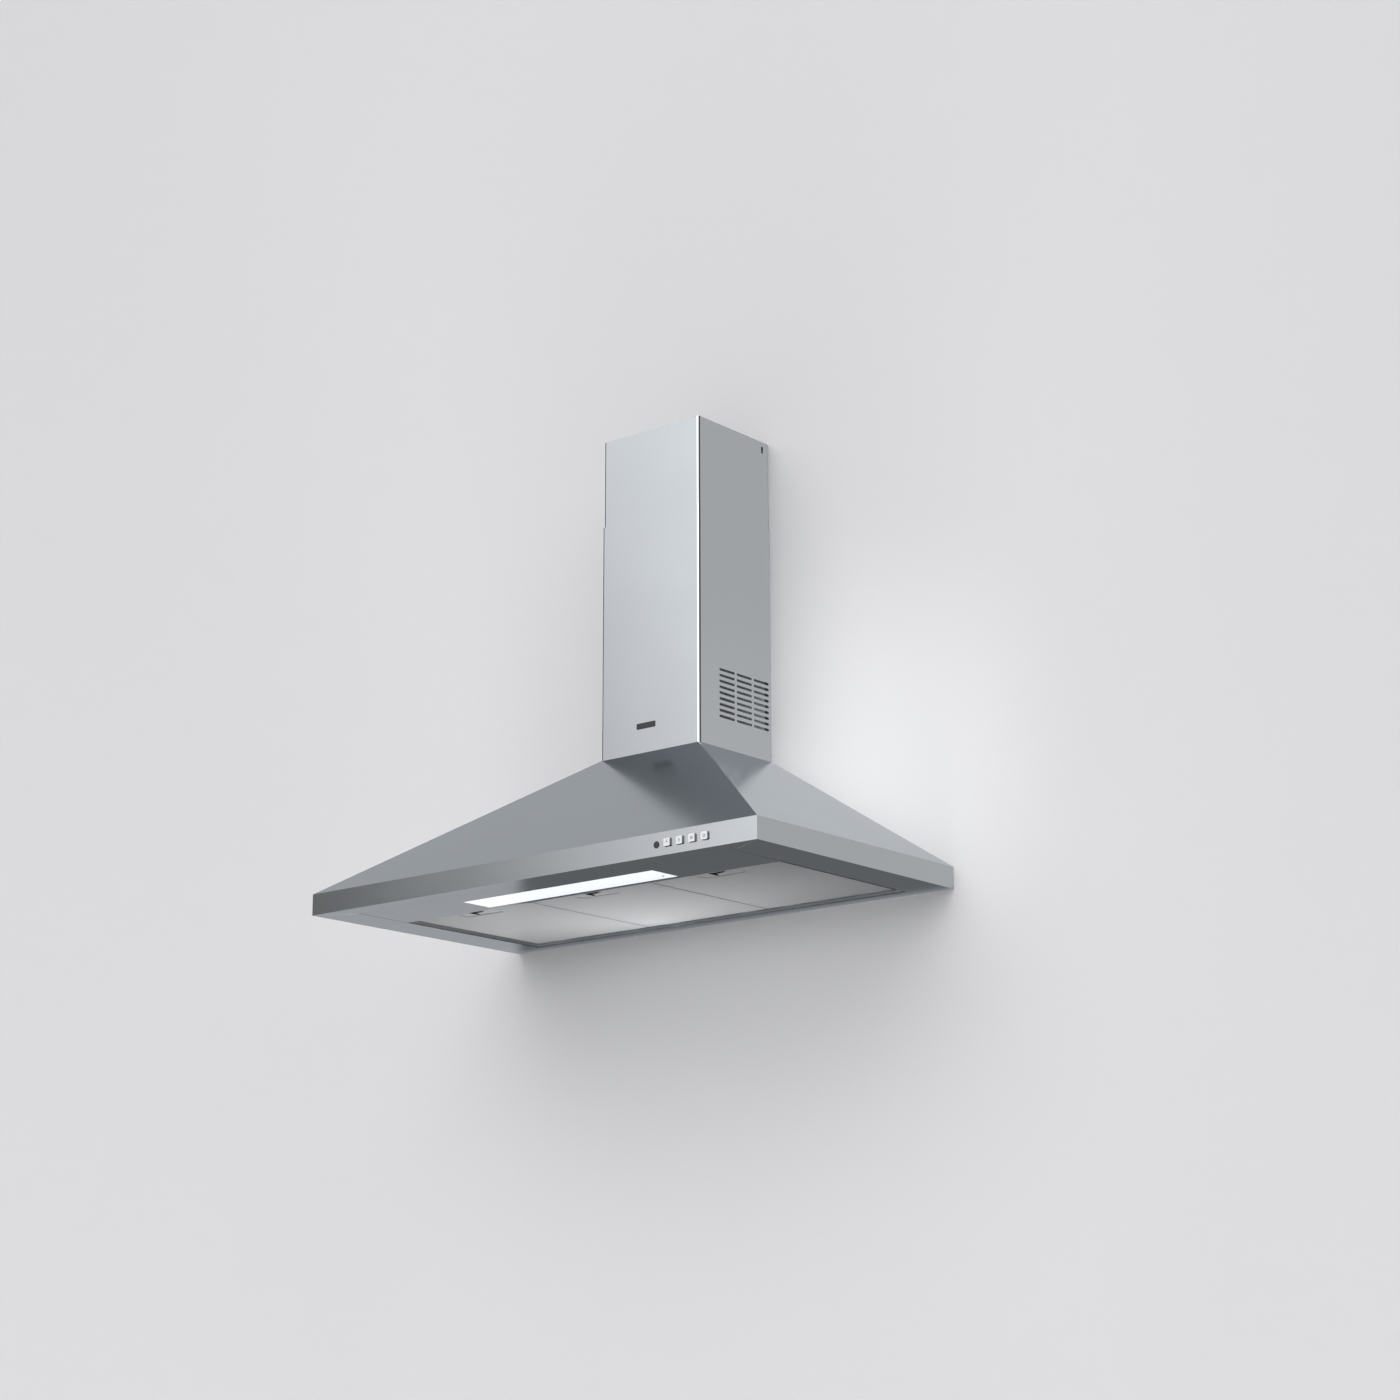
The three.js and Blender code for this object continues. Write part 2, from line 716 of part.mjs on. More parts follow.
// The bracket on the wall under the ceiling that the upper cover is screwed to from its sides.
function chimneyBracket() {
  const side = upperWidth / 2 - sheet - seat;
  const front = upperRear - sheet - seat;
  const plan = folded([
    [side, front - bracketTabLength],
    [side, front],
    [bracketBackHalf, front],
    [bracketBackHalf, 0],
    [-bracketBackHalf, 0],
    [-bracketBackHalf, front],
    [-side, front],
    [-side, front - bracketTabLength],
  ], bracketSheet);
  const bracket = prism(plan, "z", [screwHeight - bracketHeight / 2, screwHeight + bracketHeight / 2]);
  const reach = upperWidth / 2;
  const hole = rod("x", [0, -screwSlotFromWall, screwHeight], bracketHoleRadius, [-reach, reach], pinSides);
  return bracket.subtract(hole);
}

// The clip on the canopy's top that the lower cover is screwed to from inside.
function coverClip(side) {
  const outer = coverWidth / 2 - sheet - seat;
  const base = canopyHeight + seat;
  const strip = folded([
    [outer - coverClipFoot, base],
    [outer, base],
    [outer, base + coverClipHeight],
  ], sheet);
  const middle = -coverDepth / 2;
  const clip = prism(strip, "y", [middle - coverClipLength / 2, middle + coverClipLength / 2]);
  return side > 0 ? clip : clip.mirror([1, 0, 0]);
}

// ---------------------------------------------------------------- blower

function scrollRadius(turnedDegrees) {
  return scrollTongueRadius + scrollGrowth * turnedDegrees / fullTurn;
}

// The spiral from the tongue at the top over the front and the bottom to the rear.
function spiral(offset, fromDegrees) {
  const points = [];
  for (let i = 0; i <= scrollSteps; i += 1) {
    const turnedBy = fromDegrees + (scrollEnd - fromDegrees) * i / scrollSteps;
    points.push(around([axisY, axisZ], scrollRadius(turnedBy) + offset, upward + turnedBy));
  }
  return points;
}

function scrollOutside() {
  const front = collarY - collarRadius;
  const rear = -scrollRearGap;
  // The outer skin leaves the spiral where it comes level with the throat's front.
  const leaves = THREE.MathUtils.radToDeg(Math.asin((axisY - front) / (scrollTongueRadius + scrollWall)));
  return polygon([[rear, scrollTop], [front, scrollTop], ...spiral(scrollWall, leaves)]);
}

function scrollInside() {
  const front = collarY - collarRadius + scrollWall;
  const rear = -scrollRearGap - scrollWall;
  const above = scrollTop + cutMargin;
  return polygon([[rear, above], [front, above], [front, scrollTop - throatLip], ...spiral(0, 0)]);
}

// Rolled-in edge of the air inlet, with its rim flush in the housing's side wall.
function inletBellMouth() {
  const rim = inletRadius + inletBell;
  const arc = (radius, from, to) => Array.from({ length: bellSteps + 1 }, (_, step) => {
    return around([rim, inletBell], radius, from + (to - from) * step / bellSteps);
  });
  const outline = [
    [rim + seat, 0],
    [rim + seat, scrollWall],
    ...arc(inletBell - scrollWall, bellRim, bellRear),
    ...arc(inletBell, bellRear, bellRim),
  ];
  return turned(outline, "x", [-scrollHalfWidth, axisY, axisZ], roundSides);
}

function scrollHalf(side) {
  const split = -seat / 2;
  const outside = prism(scrollOutside(), "x", [-scrollHalfWidth, split]);
  const inside = prism(scrollInside(), "x", [-scrollHalfWidth + scrollWall, cutMargin]);
  const inletSpan = [-scrollHalfWidth - cutMargin, 0];
  const inlet = rod("x", [0, axisY, axisZ], inletRadius + inletBell, inletSpan);
  const half = cut(outside, [inside, inlet]).add(inletBellMouth());
  return side < 0 ? half : half.mirror([1, 0, 0]);
}

function blade(index) {
  const inner = wheelRadius - bladeDepth;
  const start = fullTurn * index / bladeCount;
  const half = THREE.MathUtils.radToDeg(bladeThickness / 2 / wheelRadius);
  const at = (radius, degrees) => around([axisY, axisZ], radius, start + degrees);
  const bend = inner + bladeBend;
  const shape = new THREE.Shape();
  shape.moveTo(...at(inner, -half));
  shape.quadraticCurveTo(...at(bend, -half), ...at(wheelRadius, bladeLead - half));
  shape.lineTo(...at(wheelRadius, bladeLead + half));
  shape.quadraticCurveTo(...at(bend, half), ...at(inner, half));
  return prism(shape, "x", [-wheelHalfWidth + seat, wheelHalfWidth - seat], 2);
}

function wheelEndRing(side) {
  const [outer, inner] = [wheelRadius + seat, wheelRadius - bladeDepth - seat];
  const start = side < 0 ? -wheelHalfWidth : wheelHalfWidth - wheelRing;
  const outline = [[inner, start], [outer, start], [outer, start + wheelRing], [inner, start + wheelRing]];
  return turned(outline, "x", [0, axisY, axisZ], bladeCount);
}

function fanWheel() {
  const middle = [0, axisY, axisZ];
  const disc = rod("x", middle, wheelRadius + seat, [-wheelDisc / 2, wheelDisc / 2], bladeCount);
  const hub = rod("x", middle, hubRadius, [-hubHalfLength - hubNose, hubHalfLength], smallSides);
  const blades = Array.from({ length: bladeCount }, (_, index) => blade(index));
  const wheel = joined([disc, hub, ...blades, wheelEndRing(-1), wheelEndRing(1)]);
  const reach = hubHalfLength + hubNose + cutMargin;
  return wheel.subtract(rod("x", middle, shaftRadius + seat, [-reach, reach], smallSides));
}

const motorEnd = scrollHalfWidth - seat;
const shaftEnd = motorEnd - bearingWidth;

function motorShaft() {
  return rod("x", [0, axisY, axisZ], shaftRadius, [-hubHalfLength - hubNose, shaftEnd], smallSides);
}

// Motor can with rounded ends, a bore for the shaft and a pocket for each bearing.
function motorCan() {
  const bore = shaftRadius + easyGap;
  const pocket = bearingRadius + seat;
  const end = motorRadius - motorBell;
  const depth = bearingWidth + seat;
  const outline = [
    [bore, motorStart + depth],
    [pocket, motorStart + depth],
    [pocket, motorStart],
    [end, motorStart],
    [motorRadius - motorBell / 3, motorStart + motorBell / 3],
    [motorRadius, motorStart + motorBell],
    [motorRadius, motorEnd - motorBell],
    [motorRadius - motorBell / 3, motorEnd - motorBell / 3],
    [end, motorEnd],
    [pocket, motorEnd],
    [pocket, motorEnd - depth],
    [bore, motorEnd - depth],
  ];
  return turned(outline, "x", [0, axisY, axisZ], roundSides);
}

function bearing(start) {
  const bore = shaftRadius + runGap;
  const end = start + bearingWidth;
  const outline = [[bore, start], [bearingRadius, start], [bearingRadius, end], [bore, end]];
  return turned(outline, "x", [0, axisY, axisZ], smallSides);
}

function radialBar(width, reach, degrees, [x0, x1]) {
  const bar = block([x0, x1], [0, reach], [-width / 2, width / 2]);
  return bar.rotate([degrees, 0, 0]).translate([0, axisY, axisZ]);
}

function flatRing(inner, outer, [x0, x1], sides = roundSides) {
  const outline = [[inner, x0], [outer, x0], [outer, x1], [inner, x1]];
  return turned(outline, "x", [0, axisY, axisZ], sides);
}

// Three-armed plate that carries the motor in the right inlet.
function motorSpider() {
  const span = [scrollHalfWidth + seat, scrollHalfWidth + seat + spiderPlate];
  const rimOuter = inletRadius + inletBell + spiderRim;
  const ring = flatRing(inletRadius + inletBell, rimOuter, span);
  const middle = rod("x", [0, axisY, axisZ], spiderCentre, span);
  const arms = Array.from({ length: spiderArms }, (_, index) => {
    return radialBar(spiderArm, rimOuter - spiderRim / 2, upward + index * fullTurn / spiderArms, span);
  });
  return joined([middle, ring, ...arms]);
}

// Finger guard over the left inlet.
function inletGuard() {
  const span = [-scrollHalfWidth - seat - spiderPlate, -scrollHalfWidth - seat];
  const rimOuter = inletRadius + inletBell + spiderRim;
  const ring = flatRing(inletRadius + inletBell, rimOuter, span);
  const pitch = (inletRadius + inletBell) / (guardRings + 1);
  const bars = Array.from({ length: guardRings }, (_, index) => {
    const radius = pitch * (index + 1);
    return flatRing(radius - guardBar / 2, radius + guardBar / 2, span, smallSides);
  });
  const spokes = Array.from({ length: guardSpokes }, (_, index) => {
    const turn = guardSpokeStart + index * fullTurn / guardSpokes;
    return radialBar(guardBar, rimOuter - spiderRim / 2, turn, span);
  });
  return joined([ring, ...spokes, ...bars]);
}

function capacitor() {
  const x = -scrollHalfWidth - seat - capacitorRadius;
  const y = axisY + capacitorFromAxis;
  return rod("z", [x, y, 0], capacitorRadius, [capacitorZ, capacitorZ + capacitorLength]);
}

// ---------------------------------------------------------------- outlet collar and its flaps

const flapAxisY = [collarY - flapPinSpacing / 2, collarY + flapPinSpacing / 2];

function outletCollar() {
  const flangeHalf = scrollHalfWidth - scrollWall;
  const flangeY = [collarY - collarRadius, collarY + collarRadius];
  const flange = prism(
    roundedRectangle([-flangeHalf, flangeHalf], flangeY, collarCorner),
    "z",
    [collarBase, collarBase + collarFlange],
    3,
  );
  const inner = collarRadius - collarWall;
  const bore = rod("z", [0, collarY, 0], inner, [collarBase - cutMargin, collarTop + cutMargin], fineSides);
  const spigot = rod("z", [0, collarY, 0], collarRadius, [collarBase, collarTop], fineSides).subtract(bore);
  const stopOutline = [
    [inner - flapStop, flapSeat - flapStop],
    [inner + collarWall / 2, flapSeat - flapStop],
    [inner + collarWall / 2, flapSeat],
    [inner - flapStop, flapSeat],
  ];
  const stop = turned(stopOutline, "z", [0, collarY, 0], fineSides);
  const pinHoles = flapAxisY.map((y) => {
    const across = [-collarRadius - cutMargin, collarRadius + cutMargin];
    return rod("x", [0, y, flapAxisZ], flapPinRadius + runGap, across, pinSides);
  });
  return cut(joined([flange.subtract(bore), spigot, stop]), pinHoles);
}

// One half of the non-return valve, hinged on a pin across the collar.
function flap(side) {
  const radius = collarRadius - collarWall - easyGap;
  const y = collarY + side * flapPinSpacing / 2;
  const low = flapAxisZ - flapThickness / 2;
  const disc = rod("z", [0, collarY, 0], radius, [low, low + flapThickness], fineSides);
  const beyond = side > 0 ? [collarY - radius - cutMargin, y] : [y, collarY + radius + cutMargin];
  const across = grown([-radius, radius], cutMargin);
  const spare = block(across, beyond, [low - cutMargin, low + flapKnuckle]);
  const reach = collarRadius - collarWall - flapStop - flapKnuckleGap;
  const knuckle = rod("x", [0, y, flapAxisZ], flapKnuckle, [-reach, reach], pinSides);
  const bore = rod("x", [0, y, flapAxisZ], flapPinRadius + runGap, [-collarRadius, collarRadius], pinSides);
  return disc.subtract(spare).add(knuckle).subtract(bore);
}

function flapPin(index) {
  const reach = collarRadius - seat;
  return rod("x", [0, flapAxisY[index], flapAxisZ], flapPinRadius, [-reach, reach], pinSides);
}

// ---------------------------------------------------------------- controls

function key(index) {
  const half = keySize / 2;
  const x = keyX(index);
  const back = frontFace + sheet + seat;
  const cap = prism(
    roundedRectangle([x - half, x + half], [keyHeight - half, keyHeight + half], keyCorner),
    "y",
    [frontFace - keyProud, back + keyFlangeThickness],
    1,
  );
  const wide = half + keyFlange;
  const flangeZ = [keyHeight - wide, keyHeight + wide];
  const flange = block([x - wide, x + wide], [back, back + keyFlangeThickness], flangeZ);
  const stemEnd = controlFront + controlBoxWall + keyStemReach;
  const stem = rod("y", [x, 0, keyHeight], keyStemRadius, [back, stemEnd], pinSides);
  return joined([cap, flange, stem]);
}

function indicator() {
  const front = rod("y", [indicatorX, 0, indicatorHeight], indicatorRadius, [
    frontFace - indicatorProud,
    frontFace + sheet + seat,
  ]);
  const pipeSpan = [frontFace, controlFront - seat];
  const pipe = rod("y", [indicatorX, 0, indicatorHeight], indicatorStemRadius, pipeSpan, smallSides);
  return front.add(pipe);
}

const controlBoxX = [
  indicatorX - indicatorRadius - controlBoxMargin,
  firstKeyX + (keyCount - 1) * keyPitch + keySize / 2 + controlBoxMargin,
];
const controlBoxZ = [keyHeight - controlBoxHeight / 2, keyHeight + controlBoxHeight / 2];

function controlBox() {
  const box = block(controlBoxX, [controlFront, controlBack], controlBoxZ);
  const hollow = block(
    grown(controlBoxX, -controlBoxWall),
    [controlFront + controlBoxWall, controlBack + cutMargin],
    grown(controlBoxZ, -controlBoxWall),
  );
  const stems = Array.from({ length: keyCount }, (_, index) => {
    const span = [controlFront - cutMargin, controlFront + controlBoxWall + cutMargin];
    return rod("y", [keyX(index), 0, keyHeight], keyStemRadius + seat, span, pinSides);
  });
  return cut(box, [hollow, ...stems]);
}

const boardFront = controlFront + controlBoxWall + keyStemReach + keyTravel + easyGap;

function controlBoard() {
  const inset = -controlBoxWall - seat;
  const span = [boardFront, boardFront + controlBoardThickness];
  return block(grown(controlBoxX, inset), span, grown(controlBoxZ, inset));
}

// ---------------------------------------------------------------- electrics

const junctionX = scrollHalfWidth + junctionFromBlower;
const junctionBack = -sheet - seat;
const junctionFront = junctionBack - junctionDepth;

function junctionBox() {
  const x = [junctionX, junctionX + junctionWidth];
  const z = [junctionZ, junctionZ + junctionHeight];
  const box = block(x, [junctionFront, junctionBack], z);
  const hollow = block(
    grown(x, -junctionWall),
    [junctionFront - cutMargin, junctionBack - junctionWall],
    grown(z, -junctionWall),
  );
  return box.subtract(hollow);
}

function junctionLid() {
  const x = [junctionX, junctionX + junctionWidth];
  const z = [junctionZ, junctionZ + junctionHeight];
  return block(x, [junctionFront - seat - junctionWall, junctionFront - seat], z);
}

// Gland for the mains lead, on top of the junction box.
function cableGland() {
  const base = junctionZ + junctionHeight + seat;
  const outline = [
    [glandBore, 0],
    [glandRadius, 0],
    [glandRadius, glandFoot],
    [glandNeckRadius, glandFoot],
    [glandNeckRadius, glandHeight - glandTip],
    [glandTipRadius, glandHeight],
    [glandBore, glandHeight],
  ].map(([radius, height]) => [radius, base + height]);
  const middle = [junctionX + junctionWidth / 2, junctionBack - junctionDepth / 2, 0];
  return turned(outline, "z", middle, smallSides);
}

// Height and depth at which both leads leave the junction box.
const junctionMiddle = [junctionBack - junctionDepth / 2, junctionZ + junctionHeight / 2];

function lead(route) {
  const curve = new THREE.CatmullRomCurve3(route.map((point) => new THREE.Vector3(...point)));
  const section = new THREE.Shape();
  section.absarc(0, 0, leadRadius, 0, Math.PI * 2, false);
  const steps = Math.round(curve.getLength() / leadStep);
  const body = new THREE.ExtrudeGeometry(section, {
    steps,
    curveSegments: leadSegments,
    bevelEnabled: false,
    extrudePath: curve,
  });
  return solid(body);
}

// From the junction box to the middle of the motor's end.
function motorLead() {
  const start = [junctionX - seat, ...junctionMiddle];
  const end = [scrollHalfWidth + easyGap + spiderPlate, axisY, axisZ];
  const out = motorLeadBend;
  return lead([
    start,
    [start[0] - out, start[1], start[2]],
    [end[0] + out, end[1] + out * 2, end[2] - out],
    [end[0] + out / 2, end[1], end[2]],
    end,
  ]);
}

// From the junction box along the filter bay's right ledge to the back of the control board.
function controlLead() {
  const start = [junctionX + junctionWidth + seat, ...junctionMiddle];
  const boardBack = boardFront + controlBoardThickness;
  const end = [(controlBoxX[0] + controlBoxX[1]) / 2, boardBack + seat, keyHeight];
  const out = controlLeadBend;
  const along = sideEdge - ledgeDepth / 2;
  const low = ledgeHeight + sheet + leadRadius + controlLeadRise;
  return lead([
    start,
    [start[0] + out, start[1], start[2]],
    [(start[0] + along) / 2, start[1] - out, (start[2] + low) / 2 + out],
    [along - out, start[1] - out * 4, low + out / 2],
    [along, start[1] - controlLeadRun, low],
    [along, (start[1] + end[1]) / 2, low],
    [along, bayFront, low],
    [along - out * 2, end[1] + out * 3, low],
    [end[0] + out / 2, end[1] + out + out / 2, end[2]],
    [end[0], end[1] + out / 2, end[2]],
    end,
  ]);
}

// ---------------------------------------------------------------- filters and their latches

function filterX(index) {
  return (index - (filterCount - 1) / 2) * filterPitch;
}

const latchPanFront = filterFront + filterChannel + seat;
const latchPanRear = latchPanFront + latchPanDepth;
const latchPanTop = filterTop - filterChannel - seat;
const latchDishEnd = latchPanWidth / 2 - latchDishMargin;
const latchDishY = [latchPanFront + latchDishFront, latchPanRear - latchDishMargin];
const latchRecessY = grown(latchDishY, -latchRecessMargin);
const latchRecessEnd = latchDishEnd - latchRecessMargin;
const latchPlateZ = [filterBottom + latchDishInset, filterBottom + latchDishInset + latchPlateThickness];
const latchPlateY = [latchRecessY[0] + slideGap, latchRecessY[1] - latchTravel - latchTravelSpare];
const latchBoltZ = [filterBottom + latchBoltHeight, filterBottom + latchBoltHeight + latchBoltThickness];

function latchOpening(x, [z0, z1]) {
  const half = latchPanWidth / 2 + seat;
  return block([x - half, x + half], [filterFront + filterChannel, latchPanRear + seat], [z0, z1]);
}

// Across the slider's plate, where its bolt runs.
function boltX(x) {
  const middle = x + (latchPlateStart + latchRecessEnd) / 2;
  return [middle - latchBoltWidth / 2, middle + latchBoltWidth / 2];
}

function boltSlot(x) {
  const run = [filterFront - cutMargin, latchRecessY[0] + cutMargin];
  return block(grown(boltX(x), slideGap), run, grown(latchBoltZ, slideGap));
}

function hingeTab(x) {
  const span = [x - filterTabWidth / 2, x + filterTabWidth / 2];
  const bead = rod("x", [0, filterAxisY, filterAxisZ], hingeRailRadius - runGap, span, smallSides);
  const neck = block(
    span,
    [filterRear - filterChannel / 2, filterAxisY],
    grown([filterAxisZ, filterAxisZ], filterTabThickness / 2),
  );
  return bead.add(neck);
}

// Aluminium channel frame with two hinge tabs on its rear edge.
function filterFrame(index) {
  const x = filterX(index);
  const spanX = [x - filterWidth / 2, x + filterWidth / 2];
  const spanY = [filterFront, filterRear];
  const spanZ = [filterBottom, filterTop];
  const frame = block(spanX, spanY, spanZ);
  const wall = -filterChannel;
  const channel = block(grown(spanX, wall), grown(spanY, wall), grown(spanZ, wall));
  const window = block(grown(spanX, -filterLip), grown(spanY, -filterLip), grown(spanZ, cutMargin));
  const latch = latchOpening(x, [filterBottom - cutMargin, filterTop - filterChannel]);
  const tabs = [-1, 1].map((side) => hingeTab(x + side * filterTabSpacing / 2));
  return joined([cut(frame, [channel, window, latch, boltSlot(x)]), ...tabs]);
}

// Pack of mesh layers held in the frame's channel, level with the frame's faces in its window.
function filterMesh(index) {
  const x = filterX(index);
  const spanX = [x - filterWidth / 2, x + filterWidth / 2];
  const spanY = [filterFront, filterRear];
  const held = -filterChannel - seat;
  const core = block(grown(spanX, held), grown(spanY, held), grown([filterBottom, filterTop], held));
  const open = -filterLip - seat;
  const faces = block(grown(spanX, open), grown(spanY, open), [filterBottom, filterTop]);
  return core.add(faces).subtract(latchOpening(x, grown([filterBottom, filterTop], cutMargin)));
}

// Pressed pan in the filter: a shallow dish with a deep recess for the slider in its right part.
function latchPan(index) {
  const x = filterX(index);
  const half = latchPanWidth / 2;
  const pan = block([x - half, x + half], [latchPanFront, latchPanRear], [filterBottom, latchPanTop]);
  const dish = prism(
    roundedRectangle([x - latchDishEnd, x + latchDishEnd], latchDishY, latchCorner),
    "z",
    [filterBottom - cutMargin, filterBottom + latchDishInset],
    latchCornerSteps,
  );
  const recess = prism(
    roundedRectangle([x + latchRecessStart, x + latchRecessEnd], latchRecessY, latchCorner),
    "z",
    [filterBottom, latchPanTop - latchFloor],
    latchCornerSteps,
  );
  return cut(pan, [dish, recess, boltSlot(x)]);
}

// Plate with a finger end that is pulled towards the wall, its guide post and its bolt.
function latchSlider(index) {
  const x = filterX(index);
  const plateX = [x + latchPlateStart, x + latchRecessEnd - slideGap];
  const plate = prism(
    roundedRectangle(plateX, latchPlateY, latchCorner - slideGap),
    "z",
    latchPlateZ,
    latchCornerSteps,
  );
  const fingerFront = latchPlateY[0] + latchFingerBehind;
  const finger = prism(
    roundedRectangle(
      [x + latchFingerStart, plateX[0] + latchCorner * 2],
      [fingerFront, fingerFront + latchFingerWidth],
      latchCorner,
    ),
    "z",
    latchPlateZ,
    latchCornerSteps,
  );
  const postZ = [latchPlateZ[0], latchPanTop - latchFloor - seat];
  const post = block(grown(plateX, -latchPostInset), grown(latchPlateY, -latchPostInset), postZ);
  const boltRear = latchPlateY[0] + latchPostInset + cutMargin;
  const bolt = block(boltX(x), [filterFront - latchBoltReach, boltRear], latchBoltZ);
  return joined([plate, finger, post, bolt]);
}

// ---------------------------------------------------------------- assembly

function assembleCanopy() {
  place("canopy_shell", canopyShell(), "steel");
  place("canopy_back_panel", backPanel(), "galvanised");
  place("canopy_top_plate", topPlate(), "galvanised");
  place("wall_hook_left", wallHook(-1), "galvanised");
  place("wall_hook_right", wallHook(1), "galvanised");
  place("filter_tray", filterTray(), "steel");
  place("filter_hinge_rail", hingeRail(), "galvanised");
  place("lamp_panel", lampPanel(), "steel");
  place("lamp_lens", lampLens(), "diffuser");
  place("lamp_housing", lampHousing(), "galvanised");
  place("lamp_board", lampBoard(), "board");
  place("lamp_driver", lampDriver(), "electrics");
}

function assembleChimney() {
  place("lower_chimney_cover", lowerCover(), "steel");
  place("cover_clip_left", coverClip(-1), "galvanised");
  place("cover_clip_right", coverClip(1), "galvanised");
  place("upper_chimney_cover", upperCover(), "steel");
  place("chimney_wall_bracket", chimneyBracket(), "coated");
}

function assembleBlower() {
  place("blower_housing_left", scrollHalf(-1), "housing");
  place("blower_housing_right", scrollHalf(1), "housing");
  place("inlet_guard", inletGuard(), "housing");
  place("motor_spider", motorSpider(), "galvanised");
  place("motor_can", motorCan(), "motor");
  place("motor_bearing_left", bearing(motorStart), "shaft");
  place("motor_bearing_right", bearing(motorEnd - bearingWidth), "shaft");
  place("motor_shaft", motorShaft(), "shaft");
  place("fan_wheel", fanWheel(), "housing");
  place("capacitor", capacitor(), "electrics");
}

function assembleOutlet() {
  place("outlet_collar", outletCollar(), "housing");
  place("flap_front", flap(-1), "housing");
  place("flap_rear", flap(1), "housing");
  place("flap_pin_front", flapPin(0), "shaft");
  place("flap_pin_rear", flapPin(1), "shaft");
}

function assembleControls() {
  place("control_box", controlBox(), "housing");
  place("control_board", controlBoard(), "board");
  place("indicator_lens", indicator(), "indicator");
  for (let i = 0; i < keyCount; i += 1) place(`key_${i + 1}`, key(i), "key");
}

function assembleElectrics() {
  place("junction_box", junctionBox(), "electrics");
  place("junction_lid", junctionLid(), "electrics");
  place("cable_gland", cableGland(), "cable");
  place("motor_lead", motorLead(), "cable");
  place("control_lead", controlLead(), "cable");
}

function assembleFilters() {
  for (let i = 0; i < filterCount; i += 1) {
    place(`filter_frame_${i + 1}`, filterFrame(i), "aluminium");
    place(`filter_mesh_${i + 1}`, filterMesh(i), "aluminium");
    place(`latch_pan_${i + 1}`, latchPan(i), "aluminium");
    place(`latch_slider_${i + 1}`, latchSlider(i), "aluminium");
  }
}

assembleCanopy();
assembleChimney();
assembleBlower();
assembleOutlet();
assembleControls();
assembleElectrics();
assembleFilters();

export default hood;
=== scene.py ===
"""Looks, stage, light and camera for the chimney range hood.

Metres, in the frame of the CAD model: +Z up, the wall is the plane Y = 0 and the front faces -Y.
Heights are written from the canopy's lower edge, as Z_RIM + height.
"""

import json
import math

import bmesh
import bpy
from mathutils import Matrix, Vector


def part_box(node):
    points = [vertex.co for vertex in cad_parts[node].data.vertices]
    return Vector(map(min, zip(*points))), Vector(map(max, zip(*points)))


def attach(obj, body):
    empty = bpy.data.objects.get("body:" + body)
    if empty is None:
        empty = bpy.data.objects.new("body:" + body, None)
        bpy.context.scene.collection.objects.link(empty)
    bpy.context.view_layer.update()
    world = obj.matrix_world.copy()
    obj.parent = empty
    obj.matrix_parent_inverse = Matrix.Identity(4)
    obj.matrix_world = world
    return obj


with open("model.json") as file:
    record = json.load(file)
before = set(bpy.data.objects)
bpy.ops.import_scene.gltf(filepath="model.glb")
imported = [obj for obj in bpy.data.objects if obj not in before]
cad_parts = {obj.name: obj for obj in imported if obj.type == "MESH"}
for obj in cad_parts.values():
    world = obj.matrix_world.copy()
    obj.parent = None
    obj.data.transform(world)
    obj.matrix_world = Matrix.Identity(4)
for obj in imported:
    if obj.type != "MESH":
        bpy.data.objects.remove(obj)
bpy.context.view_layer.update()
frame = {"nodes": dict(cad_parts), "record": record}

MM = 0.001
Z_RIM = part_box("canopy_shell")[0].z


# ---------------------------------------------------------------- node helpers


